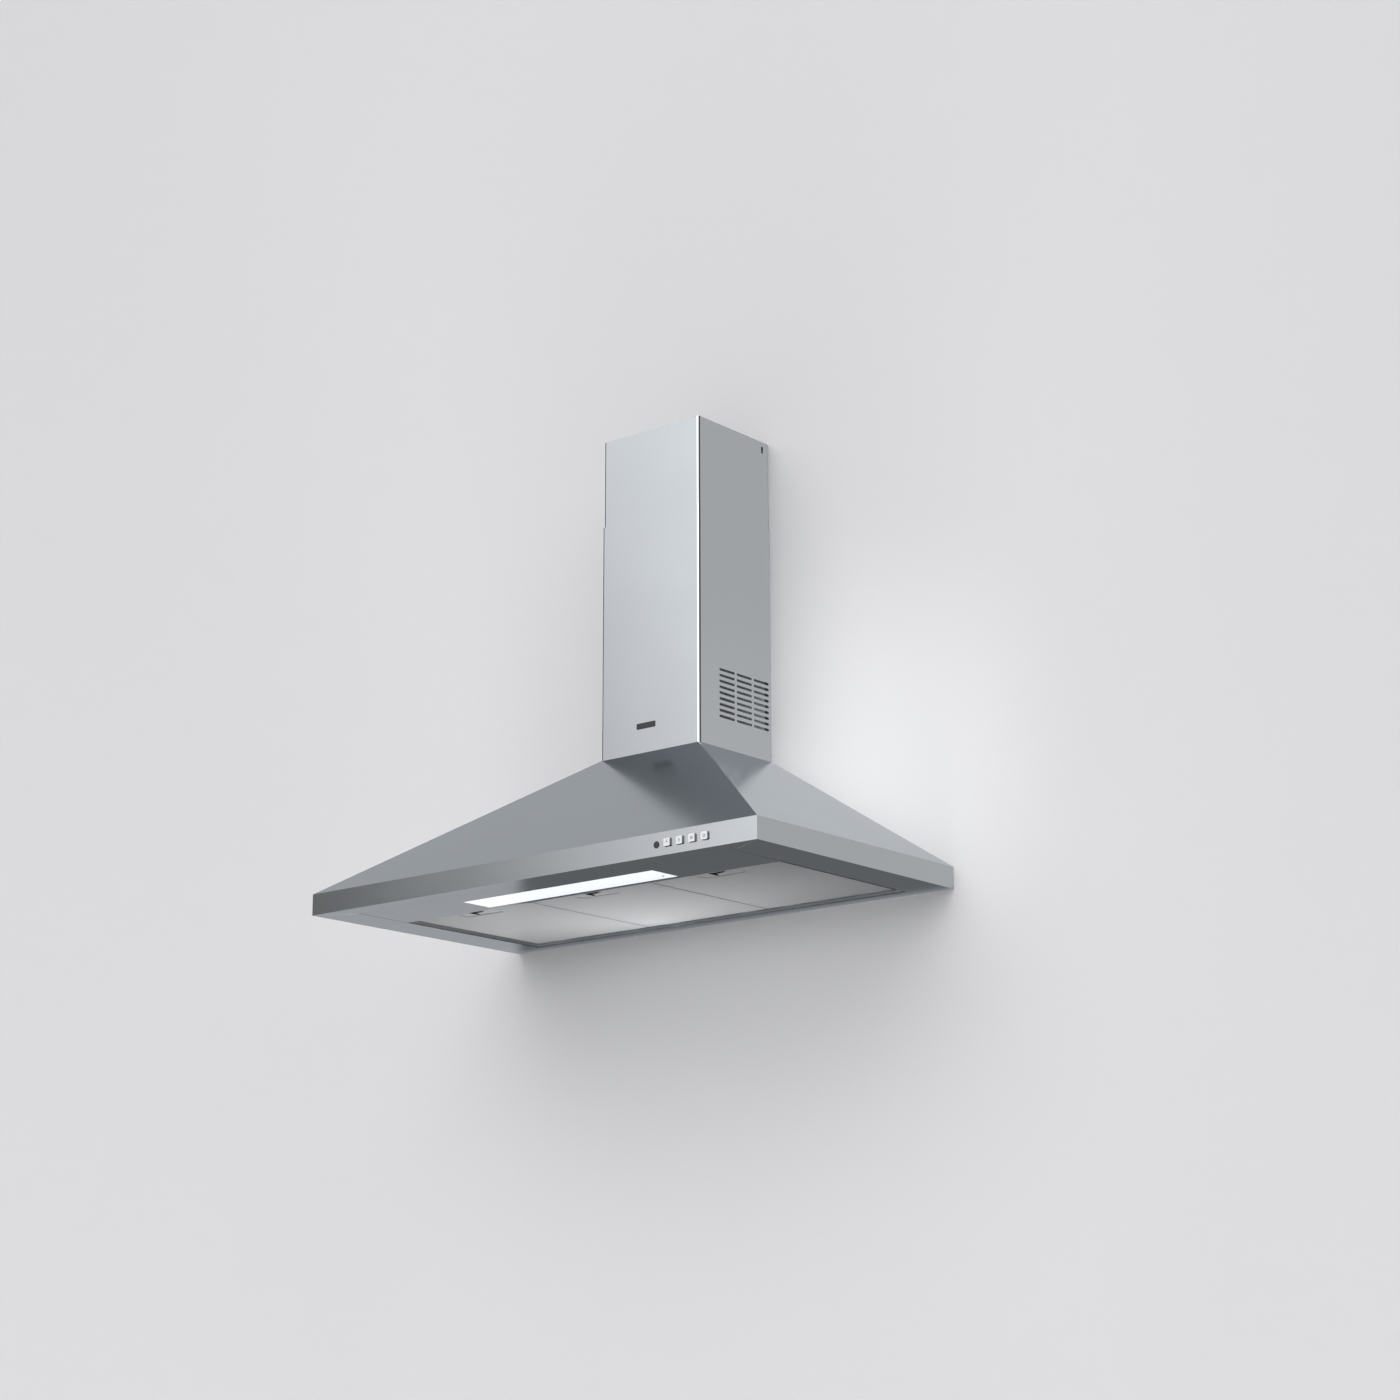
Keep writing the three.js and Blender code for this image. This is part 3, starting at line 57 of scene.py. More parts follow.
class Nodes:
    """A material's or the world's node tree, with short calls for what the materials here share."""

    def __init__(self, tree):
        self.tree = tree

    def add(self, kind, **settings):
        """A new node of the kind, with its settings."""
        node = self.tree.nodes.new(kind)
        for name, value in settings.items():
            setattr(node, name, value)
        return node

    def wire(self, source, target):
        self.tree.links.new(source, target)

    def put(self, socket, value):
        """Wires value into the socket if it is a socket itself, and otherwise sets it."""
        if isinstance(value, bpy.types.NodeSocket):
            self.wire(value, socket)
        else:
            socket.default_value = value

    def math(self, operation, first, second=None, third=None):
        """The result of a maths node; each value is a number or a socket."""
        node = self.add("ShaderNodeMath", operation=operation)
        for socket, value in zip(node.inputs, (first, second, third)):
            if value is not None:
                self.put(socket, value)
        return node.outputs[0]

    def ramp(self, value, low, high, to_low=0.0, to_high=1.0, smooth=True):
        """The value, carried from the range low to high over to the range to_low to to_high."""
        node = self.add("ShaderNodeMapRange")
        node.interpolation_type = "SMOOTHSTEP" if smooth else "LINEAR"
        for name, number in (
            ("Value", value),
            ("From Min", low),
            ("From Max", high),
            ("To Min", to_low),
            ("To Max", to_high),
        ):
            self.put(node.inputs[name], number)
        return node.outputs["Result"]

    def split(self, vector):
        node = self.add("ShaderNodeSeparateXYZ")
        self.wire(vector, node.inputs[0])
        return node.outputs

    def join(self, x, y, z):
        node = self.add("ShaderNodeCombineXYZ")
        for socket, value in zip(node.inputs, (x, y, z)):
            self.put(socket, value)
        return node.outputs[0]

    def noise(self, vector, scale, detail=2.0):
        node = self.add("ShaderNodeTexNoise")
        self.wire(vector, node.inputs["Vector"])
        node.inputs["Scale"].default_value = scale
        node.inputs["Detail"].default_value = detail
        return node.outputs["Fac"]

    def mix_colour(self, factor, first, second):
        node = self.add("ShaderNodeMix", data_type="RGBA")
        self.put(node.inputs["Factor"], factor)
        self.put(node.inputs["A"], first)
        self.put(node.inputs["B"], second)
        return node.outputs["Result"]

    def bump(self, height, distance):
        node = self.add("ShaderNodeBump")
        node.inputs["Distance"].default_value = distance
        self.wire(height, node.inputs["Height"])
        return node.outputs["Normal"]

    def length(self, first, second):
        """Distance from zero in the plane of the two values."""
        squares = self.math("MULTIPLY_ADD", first, first, self.math("MULTIPLY", second, second))
        return self.math("SQRT", squares)

    def product(self, *values):
        """All the values multiplied together."""
        result = values[0]
        for value in values[1:]:
            result = self.math("MULTIPLY", result, value)
        return result

    def place(self):
        return self.add("ShaderNodeTexCoord").outputs["Object"]

    def looks_along(self, axis):
        """1 where the surface faces along the axis (0, 1, 2 for X, Y, Z), either way, and 0 across it."""
        normal = self.add("ShaderNodeTexCoord").outputs["Normal"]
        return self.math("ABSOLUTE", self.split(normal)[axis])


EDGE_TINT = (0.77, 0.80, 0.84, 1.0)  # how much of its glancing gloss real sheet metal keeps


def new_material(name, metallic):
    """An empty material with one Principled shader, as (material, nodes, shader)."""
    material = bpy.data.materials.new(name)
    material.use_nodes = True
    nodes = Nodes(material.node_tree)
    shader = material.node_tree.nodes["Principled BSDF"]
    shader.inputs["Metallic"].default_value = metallic
    if metallic == 1.0:
        shader.inputs["Specular Tint"].default_value = EDGE_TINT
    return material, nodes, shader


def shade(colour, factor):
    """The colour, darker or lighter by the factor."""
    return (colour[0] * factor, colour[1] * factor, colour[2] * factor, 1.0)


# ---------------------------------------------------------------- materials

STEEL = (0.475, 0.498, 0.515)
GRAIN_ALONG = 5.0  # noise scale along the grain, per metre
GRAIN_FINE = 1500.0  # noise scale across the grain, per metre
GRAIN_COARSE = 260.0
GRAIN_CONTRAST = 0.012


def grain_place(nodes):
    """Coordinates that run fast across the sheet's grain: in Z on standing faces, in Y on flat ones."""
    x, y, z = nodes.split(nodes.place())
    flat = nodes.ramp(nodes.looks_along(2), 0.93, 0.97)
    across = nodes.math("ADD", z, nodes.math("MULTIPLY", y, flat))
    return x, y, across


BEND_HIGHLIGHT = 3.4 * MM  # how far the painted highlight of the bend shows on a cover's front, left of its right corner
BEND_SHADE = 3.2 * MM  # and how far the painted shade shows on the side behind that corner
BEND_LEFT_SHADE = 3.2 * MM  # painted shade on the bend at the left corner, which looks away from the light
BEND_FRONT = 1.2 * MM  # depth of the sheet that counts as the front
BEND_SIDE = 1.5 * MM  # and as the side
# colour of the painted highlight on the bends
BEND_PAINTED_HIGHLIGHT = (0.95, 0.96, 0.97, 1.0)


def bend_highlight_and_shade(nodes, colour, node):
    """The colour, with a painted highlight line and a painted shade line at the front corners of the
    cover.
    """
    low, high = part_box(node)
    x, y, z = nodes.split(nodes.place())
    front_end = low.y + BEND_FRONT
    near_right = nodes.math("GREATER_THAN", x, high.x - BEND_HIGHLIGHT)
    painted_highlight = nodes.product(near_right, nodes.math("LESS_THAN", y, front_end))
    behind_front = nodes.math("GREATER_THAN", y, front_end)
    near_front = nodes.math("LESS_THAN", y, front_end + BEND_SHADE)
    on_side = nodes.math("GREATER_THAN", x, high.x - BEND_SIDE)
    painted_shade = nodes.product(on_side, behind_front, near_front)
    painted_shade = nodes.math("MAXIMUM", painted_shade, nodes.math("LESS_THAN", x, low.x + BEND_LEFT_SHADE))
    tone = nodes.mix_colour(painted_highlight, colour, BEND_PAINTED_HIGHLIGHT)
    return nodes.mix_colour(painted_shade, tone, shade(STEEL, 0.25))


def brushed_steel(name, roughness=0.17, painted_bends_of=None, matt_edges=False):
    """Fine horizontal grain with slow cloudiness in the gloss."""
    material, nodes, shader = new_material(name, 1.0)
    x, y, across = grain_place(nodes)
    along = nodes.math("MULTIPLY", nodes.math("ADD", x, y), GRAIN_ALONG)
    fine = nodes.noise(nodes.join(along, 0.0, nodes.math("MULTIPLY", across, GRAIN_FINE)), 1.0, 2.0)
    coarse = nodes.noise(nodes.join(along, 0.0, nodes.math("MULTIPLY", across, GRAIN_COARSE)), 1.0, 3.0)
    cloud = nodes.noise(nodes.place(), 7.0, 3.0)
    grain = nodes.math("ADD", nodes.math("MULTIPLY", fine, 0.6), nodes.math("MULTIPLY", coarse, 0.4))
    tone = nodes.mix_colour(grain, shade(STEEL, 1.0 - GRAIN_CONTRAST), shade(STEEL, 1.0 + GRAIN_CONTRAST))
    # painted highlight and painted shade at the cover's bends
    if painted_bends_of:
        tone = bend_highlight_and_shade(nodes, tone, painted_bends_of)
    if matt_edges:
        nodes.wire(nodes.ramp(nodes.looks_along(2), 0.3, 0.6, 0.2, 1.0), shader.inputs["Metallic"])
    nodes.wire(tone, shader.inputs["Base Color"])
    grain_gloss = nodes.ramp(grain, 0.3, 0.7, -0.012, 0.012)
    cloud_gloss = nodes.ramp(cloud, 0.3, 0.7, -0.01, 0.01)
    gloss = nodes.math("ADD", grain_gloss, cloud_gloss)
    nodes.wire(nodes.math("ADD", gloss, roughness), shader.inputs["Roughness"])
    nodes.wire(nodes.bump(grain, 0.000004), shader.inputs["Normal"])
    return material


ZINC = (0.46, 0.49, 0.51)


def galvanised(name):
    """Zinc-coated sheet with crystals of slightly different tone and gloss."""
    material, nodes, shader = new_material(name, 1.0)
    cells = nodes.add("ShaderNodeTexVoronoi")
    nodes.wire(nodes.place(), cells.inputs["Vector"])
    cells.inputs["Scale"].default_value = 120.0
    tint = nodes.split(cells.outputs["Color"])[0]
    cloud = nodes.noise(nodes.place(), 30.0, 3.0)
    nodes.wire(nodes.mix_colour(tint, shade(ZINC, 0.82), shade(ZINC, 1.12)), shader.inputs["Base Color"])
    crystal_gloss = nodes.ramp(tint, 0.0, 1.0, 0.38, 0.5)
    cloud_gloss = nodes.ramp(cloud, 0.3, 0.7, -0.04, 0.04)
    nodes.wire(nodes.math("ADD", crystal_gloss, cloud_gloss), shader.inputs["Roughness"])
    nodes.wire(nodes.bump(cloud, 0.00008), shader.inputs["Normal"])
    return material


KEYS_ABOVE = 5.0 * MM  # the keys stand higher than this over the canopy's lower edge


def satin_metal(name, colour, roughness):
    """Matt-blasted light metal, with painted shade on the keys' sides."""
    material, nodes, shader = new_material(name, 1.0)
    grit = nodes.noise(nodes.place(), 900.0, 2.0)
    cloud = nodes.noise(nodes.place(), 25.0, 3.0)
    tone = nodes.mix_colour(cloud, shade(colour, 0.95), shade(colour, 1.02))
    height = nodes.split(nodes.add("ShaderNodeNewGeometry").outputs["Position"])[2]
    on_key = nodes.math("GREATER_THAN", height, Z_RIM + KEYS_ABOVE)
    # painted shade on the keys' standing sides
    side = nodes.math("MULTIPLY", nodes.ramp(nodes.looks_along(1), 0.6, 0.3), on_key)
    nodes.wire(nodes.mix_colour(side, tone, shade(colour, 0.3)), shader.inputs["Base Color"])
    nodes.wire(nodes.ramp(grit, 0.3, 0.7, roughness - 0.05, roughness + 0.05), shader.inputs["Roughness"])
    nodes.wire(nodes.bump(grit, 0.00002), shader.inputs["Normal"])
    return material


LATHE_RINGS = 2500.0  # noise scale along the X axis, per metre


def turned_metal(name, colour, roughness):
    """Fine rings left by the lathe, running round the X axis."""
    material, nodes, shader = new_material(name, 1.0)
    x, y, z = nodes.split(nodes.place())
    rings = nodes.noise(nodes.join(nodes.math("MULTIPLY", x, LATHE_RINGS), 0.0, 0.0), 1.0, 2.0)
    cloud = nodes.noise(nodes.place(), 60.0, 2.0)
    tone = nodes.mix_colour(cloud, shade(colour, 0.92), shade(colour, 1.06))
    nodes.wire(tone, shader.inputs["Base Color"])
    nodes.wire(nodes.ramp(rings, 0.3, 0.7, roughness - 0.05, roughness + 0.07), shader.inputs["Roughness"])
    nodes.wire(nodes.bump(rings, 0.00003), shader.inputs["Normal"])
    return material


def plastic(name, colour, roughness, grain=0.00006):
    """Moulded plastic with a fine leathery grain and slight tone changes."""
    material, nodes, shader = new_material(name, 0.0)
    pores = nodes.noise(nodes.place(), 1400.0, 3.0)
    cloud = nodes.noise(nodes.place(), 18.0, 3.0)
    tone = nodes.mix_colour(cloud, shade(colour, 0.75), shade(colour, 1.25))
    nodes.wire(tone, shader.inputs["Base Color"])
    nodes.wire(nodes.ramp(pores, 0.3, 0.7, roughness - 0.06, roughness + 0.06), shader.inputs["Roughness"])
    nodes.wire(nodes.bump(pores, grain), shader.inputs["Normal"])
    return material


FILTER_METALLIC = 0.1  # the filters scatter light as matt aluminium does
FILTER_PAINTED_LIGHT_PLACE = (-0.09, -0.065)  # x and y of the painted pool of light, where the filters are painted lightest
FILTER_PAINTED_LIGHT_STRETCH = 1.6  # distances to the front count for more than those to the sides
FILTER_PAINTED_LIGHT_FALL = 0.34  # distance from that place over which the painted light falls to about a third


def wire_filter_colour_with_painted_light(nodes, shader, colour):
    """Sets the colour, with a painted pool of light over the filters: lightest left of the middle, near
    the wall.
    """
    x, y, z = nodes.split(nodes.place())
    across = nodes.math("SUBTRACT", x, FILTER_PAINTED_LIGHT_PLACE[0])
    along = nodes.math("MULTIPLY", nodes.math("SUBTRACT", y, FILTER_PAINTED_LIGHT_PLACE[1]), FILTER_PAINTED_LIGHT_STRETCH)
    distance = nodes.length(across, along)
    tone = nodes.math("EXPONENT", nodes.math("DIVIDE", distance, -FILTER_PAINTED_LIGHT_FALL))
    scaled = nodes.add("ShaderNodeVectorMath", operation="SCALE")
    nodes.put(scaled.inputs[0], colour)
    nodes.wire(tone, scaled.inputs["Scale"])
    nodes.wire(scaled.outputs[0], shader.inputs["Base Color"])
    nodes.wire(scaled.outputs[0], shader.inputs["Emission Color"])


MESH_PITCH = 4.2 * MM  # from strand to strand
MESH_SLANT = 0.55


def expanded_mesh(name, colour):
    """Layers of expanded aluminium: a lattice of slanted strands with shaded gaps between them."""
    material, nodes, shader = new_material(name, FILTER_METALLIC)
    x, y, z = nodes.split(nodes.place())
    turn = 2.0 * math.pi / MESH_PITCH
    slanted = nodes.math("MULTIPLY", y, MESH_SLANT)
    rise = nodes.math("SINE", nodes.math("MULTIPLY", nodes.math("ADD", x, slanted), turn))
    fall = nodes.math("SINE", nodes.math("MULTIPLY", nodes.math("SUBTRACT", x, slanted), turn))
    open_part = nodes.ramp(nodes.math("MAXIMUM", rise, fall), -0.5, 0.4)
    wire_filter_colour_with_painted_light(nodes, shader, nodes.mix_colour(open_part, shade(colour, 0.9), shade(colour, 1.03)))
    nodes.wire(nodes.ramp(open_part, 0.0, 1.0, 0.62, 0.42), shader.inputs["Roughness"])
    nodes.wire(nodes.bump(open_part, 0.00012), shader.inputs["Normal"])
    return material


LATCH_MOUTH_START = -16.5 * MM  # left end of the latch's deep part, from the filter's middle
LATCH_MOUTH_END = (11.5 * MM, 20 * MM)  # right end of its painted shade, and that place from the pan's front
LATCH_MOUTH_SLANT = 1.49  # how that end moves to the left towards the wall
LATCH_MOUTH_DEPTH = (4.05 * MM, 4.5 * MM)  # over the canopy's lower edge, from no painted shade to full
LATCH_ARM = (13.4 * MM, 26.5 * MM)  # painted shade on the front of the finger end, from the pan's front
LATCH_ARM_SLANT = 0.15  # how its rear end moves to the front towards the right
LATCH_PAN_TOP = 0.4 * MM  # the upper side of the pan keeps the plain finish
LATCH_GAP_PAINTED_GLOW = 0.8  # painted glow in the gap behind the latch's plate, standing in for light that finds its way there


def latch_painted_shade_and_glow(nodes):
    """1 where painted shade darkens the mouth round a latch's finger end, and 1 where a painted glow
    lights the gap behind its plate.
    """
    low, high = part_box("latch_pan_1")
    x, y, z = nodes.split(nodes.place())
    from_middle = from_filter_middle(nodes, x)
    from_front = nodes.math("SUBTRACT", y, low.y)
    behind = nodes.math("SUBTRACT", from_front, LATCH_MOUTH_END[1])
    end = nodes.math("MULTIPLY_ADD", behind, -LATCH_MOUTH_SLANT, LATCH_MOUTH_END[0])
    after_start = nodes.math("GREATER_THAN", from_middle, LATCH_MOUTH_START)
    before_end = nodes.math("LESS_THAN", from_middle, end)
    below_top = nodes.math("LESS_THAN", z, high.z - LATCH_PAN_TOP)
    deep = nodes.ramp(z, Z_RIM + LATCH_MOUTH_DEPTH[0], Z_RIM + LATCH_MOUTH_DEPTH[1])
    deep = nodes.math("MULTIPLY", deep, below_top)
    from_start = nodes.math("SUBTRACT", from_middle, LATCH_MOUTH_START)
    arm_end = nodes.math("MULTIPLY_ADD", from_start, -LATCH_ARM_SLANT, LATCH_ARM[1])
    past_arm_start = nodes.math("GREATER_THAN", from_front, LATCH_ARM[0])
    in_arm = nodes.product(nodes.math("LESS_THAN", from_front, arm_end), past_arm_start, below_top)
    # painted shade in the mouth and on the finger end's front; the painted glow fills the rest of the deep
    # part
    painted_shade = nodes.product(after_start, before_end, nodes.math("MAXIMUM", deep, in_arm))
    return painted_shade, nodes.math("MULTIPLY", deep, nodes.math("SUBTRACT", 1.0, painted_shade))


FILTER_EDGE_SHADE = 1.0 * MM  # painted shade along the folded side edges, which look away from the light


def from_filter_middle(nodes, x):
    """How far x is to the right of the middle of the filter it belongs to."""
    low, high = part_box("filter_frame_1")
    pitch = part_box("filter_frame_2")[0].x - low.x
    from_first = nodes.math("SUBTRACT", x, (low.x + high.x) / 2)
    return nodes.math("WRAP", from_first, pitch / 2, -pitch / 2)


def filter_side_shade(nodes):
    """1 along a filter's left and right edges, where they get painted shade, and 0 elsewhere."""
    low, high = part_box("filter_frame_1")
    half = (high.x - low.x) / 2
    x, y, z = nodes.split(nodes.place())
    off_middle = nodes.math("ABSOLUTE", from_filter_middle(nodes, x))
    return nodes.math("GREATER_THAN", off_middle, half - FILTER_EDGE_SHADE)


def filter_sheet(name, colour, roughness, painted_latch_light=False, edge=1.0):
    """Matt aluminium sheet of the filters' frames and latches, with painted shade on standing faces and
    side edges when edge is under 1, and painted shade and a painted glow at the latches.
    """
    material, nodes, shader = new_material(name, FILTER_METALLIC)
    grit = nodes.noise(nodes.place(), 900.0, 2.0)
    tone = nodes.mix_colour(grit, shade(colour, 0.96), shade(colour, 1.03))
    if edge < 1.0:
        # painted shade on standing faces and along the side edges, where the seams between filters lie in
        # shade
        painted_shade = nodes.math("MAXIMUM", nodes.ramp(nodes.looks_along(2), 0.5, 0.2), filter_side_shade(nodes))
        tone = nodes.mix_colour(painted_shade, tone, shade(colour, edge))
    if painted_latch_light:
        # painted shade in the latch's mouth and a painted glow in the gap behind its plate
        painted_shade, painted_glow = latch_painted_shade_and_glow(nodes)
        tone = nodes.mix_colour(painted_shade, tone, shade(colour, 0.03))
        nodes.wire(nodes.math("MULTIPLY", painted_glow, LATCH_GAP_PAINTED_GLOW), shader.inputs["Emission Strength"])
    wire_filter_colour_with_painted_light(nodes, shader, tone)
    nodes.wire(nodes.ramp(grit, 0.3, 0.7, roughness - 0.05, roughness + 0.05), shader.inputs["Roughness"])
    nodes.wire(nodes.bump(grit, 0.00002), shader.inputs["Normal"])
    return material


LENS_COLOUR = (0.50, 0.52, 0.55, 1.0)
LENS_GLOW_EDGE = (0.80, 0.86, 0.96, 1.0)
LENS_GLOW_MIDDLE = (0.90, 0.94, 1.0, 1.0)
LENS_GLOW_STRENGTH = 0.38


def diffuser(name):
    """Frosted lens lit from behind by a row of light-emitting diodes."""
    material, nodes, shader = new_material(name, 0.0)
    x, y, z = nodes.split(nodes.place())
    low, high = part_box("lamp_lens")
    middle = (low.y + high.y) / 2
    off_centre = nodes.math("ABSOLUTE", nodes.math("SUBTRACT", y, middle))
    across = nodes.ramp(off_centre, 0.0, (high.y - low.y) / 2, 1.0, 0.93)
    frost = nodes.noise(nodes.place(), 1800.0, 2.0)
    shader.inputs["Base Color"].default_value = LENS_COLOUR
    nodes.wire(nodes.mix_colour(across, LENS_GLOW_EDGE, LENS_GLOW_MIDDLE), shader.inputs["Emission Color"])
    shader.inputs["Emission Strength"].default_value = LENS_GLOW_STRENGTH
    nodes.wire(nodes.ramp(frost, 0.3, 0.7, 0.3, 0.42), shader.inputs["Roughness"])
    return material


BOARD_DARK = (0.03, 0.16, 0.06, 1.0)
BOARD_LIGHT = (0.05, 0.22, 0.09, 1.0)
BOARD_SEAM = (0.10, 0.30, 0.14, 1.0)


def circuit_board(name):
    """Green solder mask with the faint squares of the copper under it."""
    material, nodes, shader = new_material(name, 0.0)
    tracks = nodes.add("ShaderNodeTexBrick")
    nodes.wire(nodes.place(), tracks.inputs["Vector"])
    tracks.inputs["Scale"].default_value = 140.0
    tracks.inputs["Color1"].default_value = BOARD_DARK
    tracks.inputs["Color2"].default_value = BOARD_LIGHT
    tracks.inputs["Mortar"].default_value = BOARD_SEAM
    nodes.wire(tracks.outputs["Color"], shader.inputs["Base Color"])
    nodes.wire(nodes.ramp(tracks.outputs["Fac"], 0.0, 1.0, 0.3, 0.45), shader.inputs["Roughness"])
    nodes.wire(nodes.bump(tracks.outputs["Fac"], 0.00003), shader.inputs["Normal"])
    return material


ALUMINIUM = (0.90, 0.92, 0.93)
LATCH_ALUMINIUM = (0.92, 0.94, 0.95)

MATERIALS = {
    "canopy_steel": brushed_steel("canopy_steel"),
    "lamp_panel_steel": brushed_steel("lamp_panel_steel", roughness=0.19),
    "tray_steel": brushed_steel("tray_steel", roughness=0.22, matt_edges=True),
    "lower_cover_steel": brushed_steel("lower_cover_steel", painted_bends_of="lower_chimney_cover"),
    "upper_cover_steel": brushed_steel("upper_cover_steel", painted_bends_of="upper_chimney_cover"),
    "galvanised_sheet": galvanised("galvanised_sheet"),
    "coated_steel": plastic("coated_steel", (0.03, 0.031, 0.034), 0.5),
    "lamp_diffuser": diffuser("lamp_diffuser"),
    "circuit_board": circuit_board("circuit_board"),
    "electrics_plastic": plastic("electrics_plastic", (0.62, 0.63, 0.61), 0.45),
    "blower_plastic": plastic("blower_plastic", (0.035, 0.036, 0.04), 0.48),
    "outlet_plastic": plastic("outlet_plastic", (0.05, 0.051, 0.056), 0.45),
    "motor_steel": turned_metal("motor_steel", (0.42, 0.44, 0.46), 0.35),
    "ground_steel": turned_metal("ground_steel", (0.62, 0.64, 0.65), 0.22),
    "indicator_plastic": plastic("indicator_plastic", (0.02, 0.021, 0.024), 0.2, grain=0.000005),
    "cable_rubber": plastic("cable_rubber", (0.03, 0.03, 0.033), 0.6),
    "key_metal": satin_metal("key_metal", (0.95, 0.96, 0.97), 0.34),
    "filter_frame_aluminium": filter_sheet("filter_frame_aluminium", ALUMINIUM, 0.42, edge=0.3),
    "filter_mesh_aluminium": expanded_mesh("filter_mesh_aluminium", ALUMINIUM),
    "latch_pan_metal": filter_sheet("latch_pan_metal", ALUMINIUM, 0.45, painted_latch_light=True),
    "latch_slider_metal": filter_sheet("latch_slider_metal", LATCH_ALUMINIUM, 0.4, painted_latch_light=True),
}


def dress_frame():
    """Gives each CAD node the material of its slot in the record."""
    for part in frame["record"]["subparts"]:
        node = frame["nodes"][part["node"]]
        node.data.materials.clear()
        node.data.materials.append(MATERIALS[part["material_slot"]])


# ---------------------------------------------------------------- small pieces


def finish_mesh(name, mesh, slot, body):
    """Turns a bmesh into a piece that takes its finish from the slot and rides on the body."""
    data = bpy.data.meshes.new(name)
    mesh.to_mesh(data)
    mesh.free()
    piece = bpy.data.objects.new(name, data)
    bpy.context.scene.collection.objects.link(piece)
    data.materials.append(MATERIALS[slot])
    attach(piece, body)
    return piece


def outline_prism(mesh, outline, thickness, turn):
    """Adds a closed prism: outline is drawn in XY, raised along Z, then placed by the matrix."""
    low = [mesh.verts.new(turn @ Vector((x, y, 0.0))) for x, y in outline]
    high = [mesh.verts.new(turn @ Vector((x, y, thickness))) for x, y in outline]
    mesh.faces.new(list(reversed(low)))
    mesh.faces.new(high)
    count = len(outline)
    for i in range(count):
        j = (i + 1) % count
        mesh.faces.new((low[i], low[j], high[j], high[i]))


def rounded_outline(width, height, radius, steps=5):
    """Corners of a rectangle round the origin, with each of its four corners rounded in steps."""
    points = []
    for turn, (sx, sy) in enumerate(((1, 1), (-1, 1), (-1, -1), (1, -1))):
        for step in range(steps + 1):
            angle = math.pi / 2 * (turn + step / steps)
            points.append((
                sx * (width / 2 - radius) + radius * math.cos(angle),
                sy * (height / 2 - radius) + radius * math.sin(angle),
            ))
    return points


def facing(position, direction):
    """Matrix that stands local Z along the direction, with local Y as near to up as it can be."""
    normal = Vector(direction).normalized()
    up = Vector((0, 0, 1)) if abs(normal.z) < 0.9 else Vector((0, 1, 0))
    side = up.cross(normal).normalized()
    level = normal.cross(side)
    turn = Matrix((side, level, normal)).transposed().to_4x4()
    return Matrix.Translation(Vector(position)) @ turn


def revolve(mesh, profile, turn, sides):
    """Adds a turned solid: profile is a list of (radius, height) from the axis back to the axis."""
    rings = []
    for radius, height in profile:
        if radius == 0.0:
            rings.append([mesh.verts.new(turn @ Vector((0.0, 0.0, height)))])
            continue
        rings.append([
            mesh.verts.new(turn @ Vector((
                radius * math.cos(2 * math.pi * i / sides),
                radius * math.sin(2 * math.pi * i / sides),
                height,
            )))
            for i in range(sides)
        ])
    for low, high in zip(rings, rings[1:]):
        for i in range(sides):
            j = (i + 1) % sides
            corners = []
            for vert in (low[i % len(low)], low[j % len(low)], high[j % len(high)], high[i % len(high)]):
                if vert not in corners:
                    corners.append(vert)
            mesh.faces.new(corners)


SCREW_SIDES = 20
LENS_SCREW = 1.9 * MM  # radii of the screws' heads
SHEET_SCREW = 2.6 * MM
INLET_SCREW = 3.0 * MM
COLLAR_SCREW = 3.2 * MM
WALL_SCREW = 5.5 * MM


def pan_screw(name, position, direction, radius, slot="ground_steel"):
    """The head of a pan-head screw on the canopy's body: domed, with a round recess in its middle."""
    mesh = bmesh.new()
    height = radius * 0.55
    profile = [
        (0.0, 0.0),
        (radius, 0.0),
        (radius, height * 0.45),
        (radius * 0.86, height * 0.82),
        (radius * 0.55, height),
        (radius * 0.42, height),
        (radius * 0.3, height * 0.55),
        (0.0, height * 0.5),
    ]
    revolve(mesh, profile, facing(position, direction), SCREW_SIDES)
    bmesh.ops.recalc_face_normals(mesh, faces=mesh.faces)
    piece = finish_mesh(name, mesh, slot, "canopy")
    for face in piece.data.polygons:
        face.use_smooth = True


TO_FRONT = (0, -1, 0)

BADGE_MIDDLE = (-7.4 * MM, Z_RIM + 294.4 * MM)  # x and z
BADGE_SIZE = (38.2 * MM, 9.3 * MM)
BADGE_THICKNESS = 0.9 * MM
BADGE_CORNER = 0.8 * MM
BADGE_SOFTENED = 0.2 * MM


def badge_plate():
    """Blank dark plate low on the lower cover's front."""
    low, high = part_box("lower_chimney_cover")
    mesh = bmesh.new()
    turn = facing((BADGE_MIDDLE[0], low.y, BADGE_MIDDLE[1]), TO_FRONT)
    outline_prism(mesh, rounded_outline(*BADGE_SIZE, BADGE_CORNER), BADGE_THICKNESS, turn)
    rims = [edge for edge in mesh.edges if any(len(face.verts) > 4 for face in edge.link_faces)]
    bmesh.ops.bevel(mesh, geom=rims, offset=BADGE_SOFTENED, segments=2, affect="EDGES")
    finish_mesh("badge_plate", mesh, "indicator_plastic", "canopy")


# Strokes on each key, as x and height from its middle, width and height, in millimetres.
KEY_MARKS = (
    ((0.0, 0.0, 4.6, 0.7), (0.0, 2.0, 0.7, 3.2)),
    ((-1.2, 0.0, 0.7, 4.6), (1.2, 0.0, 0.7, 4.6)),
    ((-1.8, 0.0, 0.7, 4.6), (0.0, 0.0, 0.7, 4.6), (1.8, 0.0, 0.7, 4.6)),
    ((0.0, 1.6, 3.6, 0.7), (0.0, -1.6, 3.6, 0.7), (1.8, 0.0, 0.7, 3.9), (-1.8, 0.0, 0.7, 3.9)),
)
KEY_INK = 0.08 * MM
KEY_STROKE_CORNER = 0.3 * MM


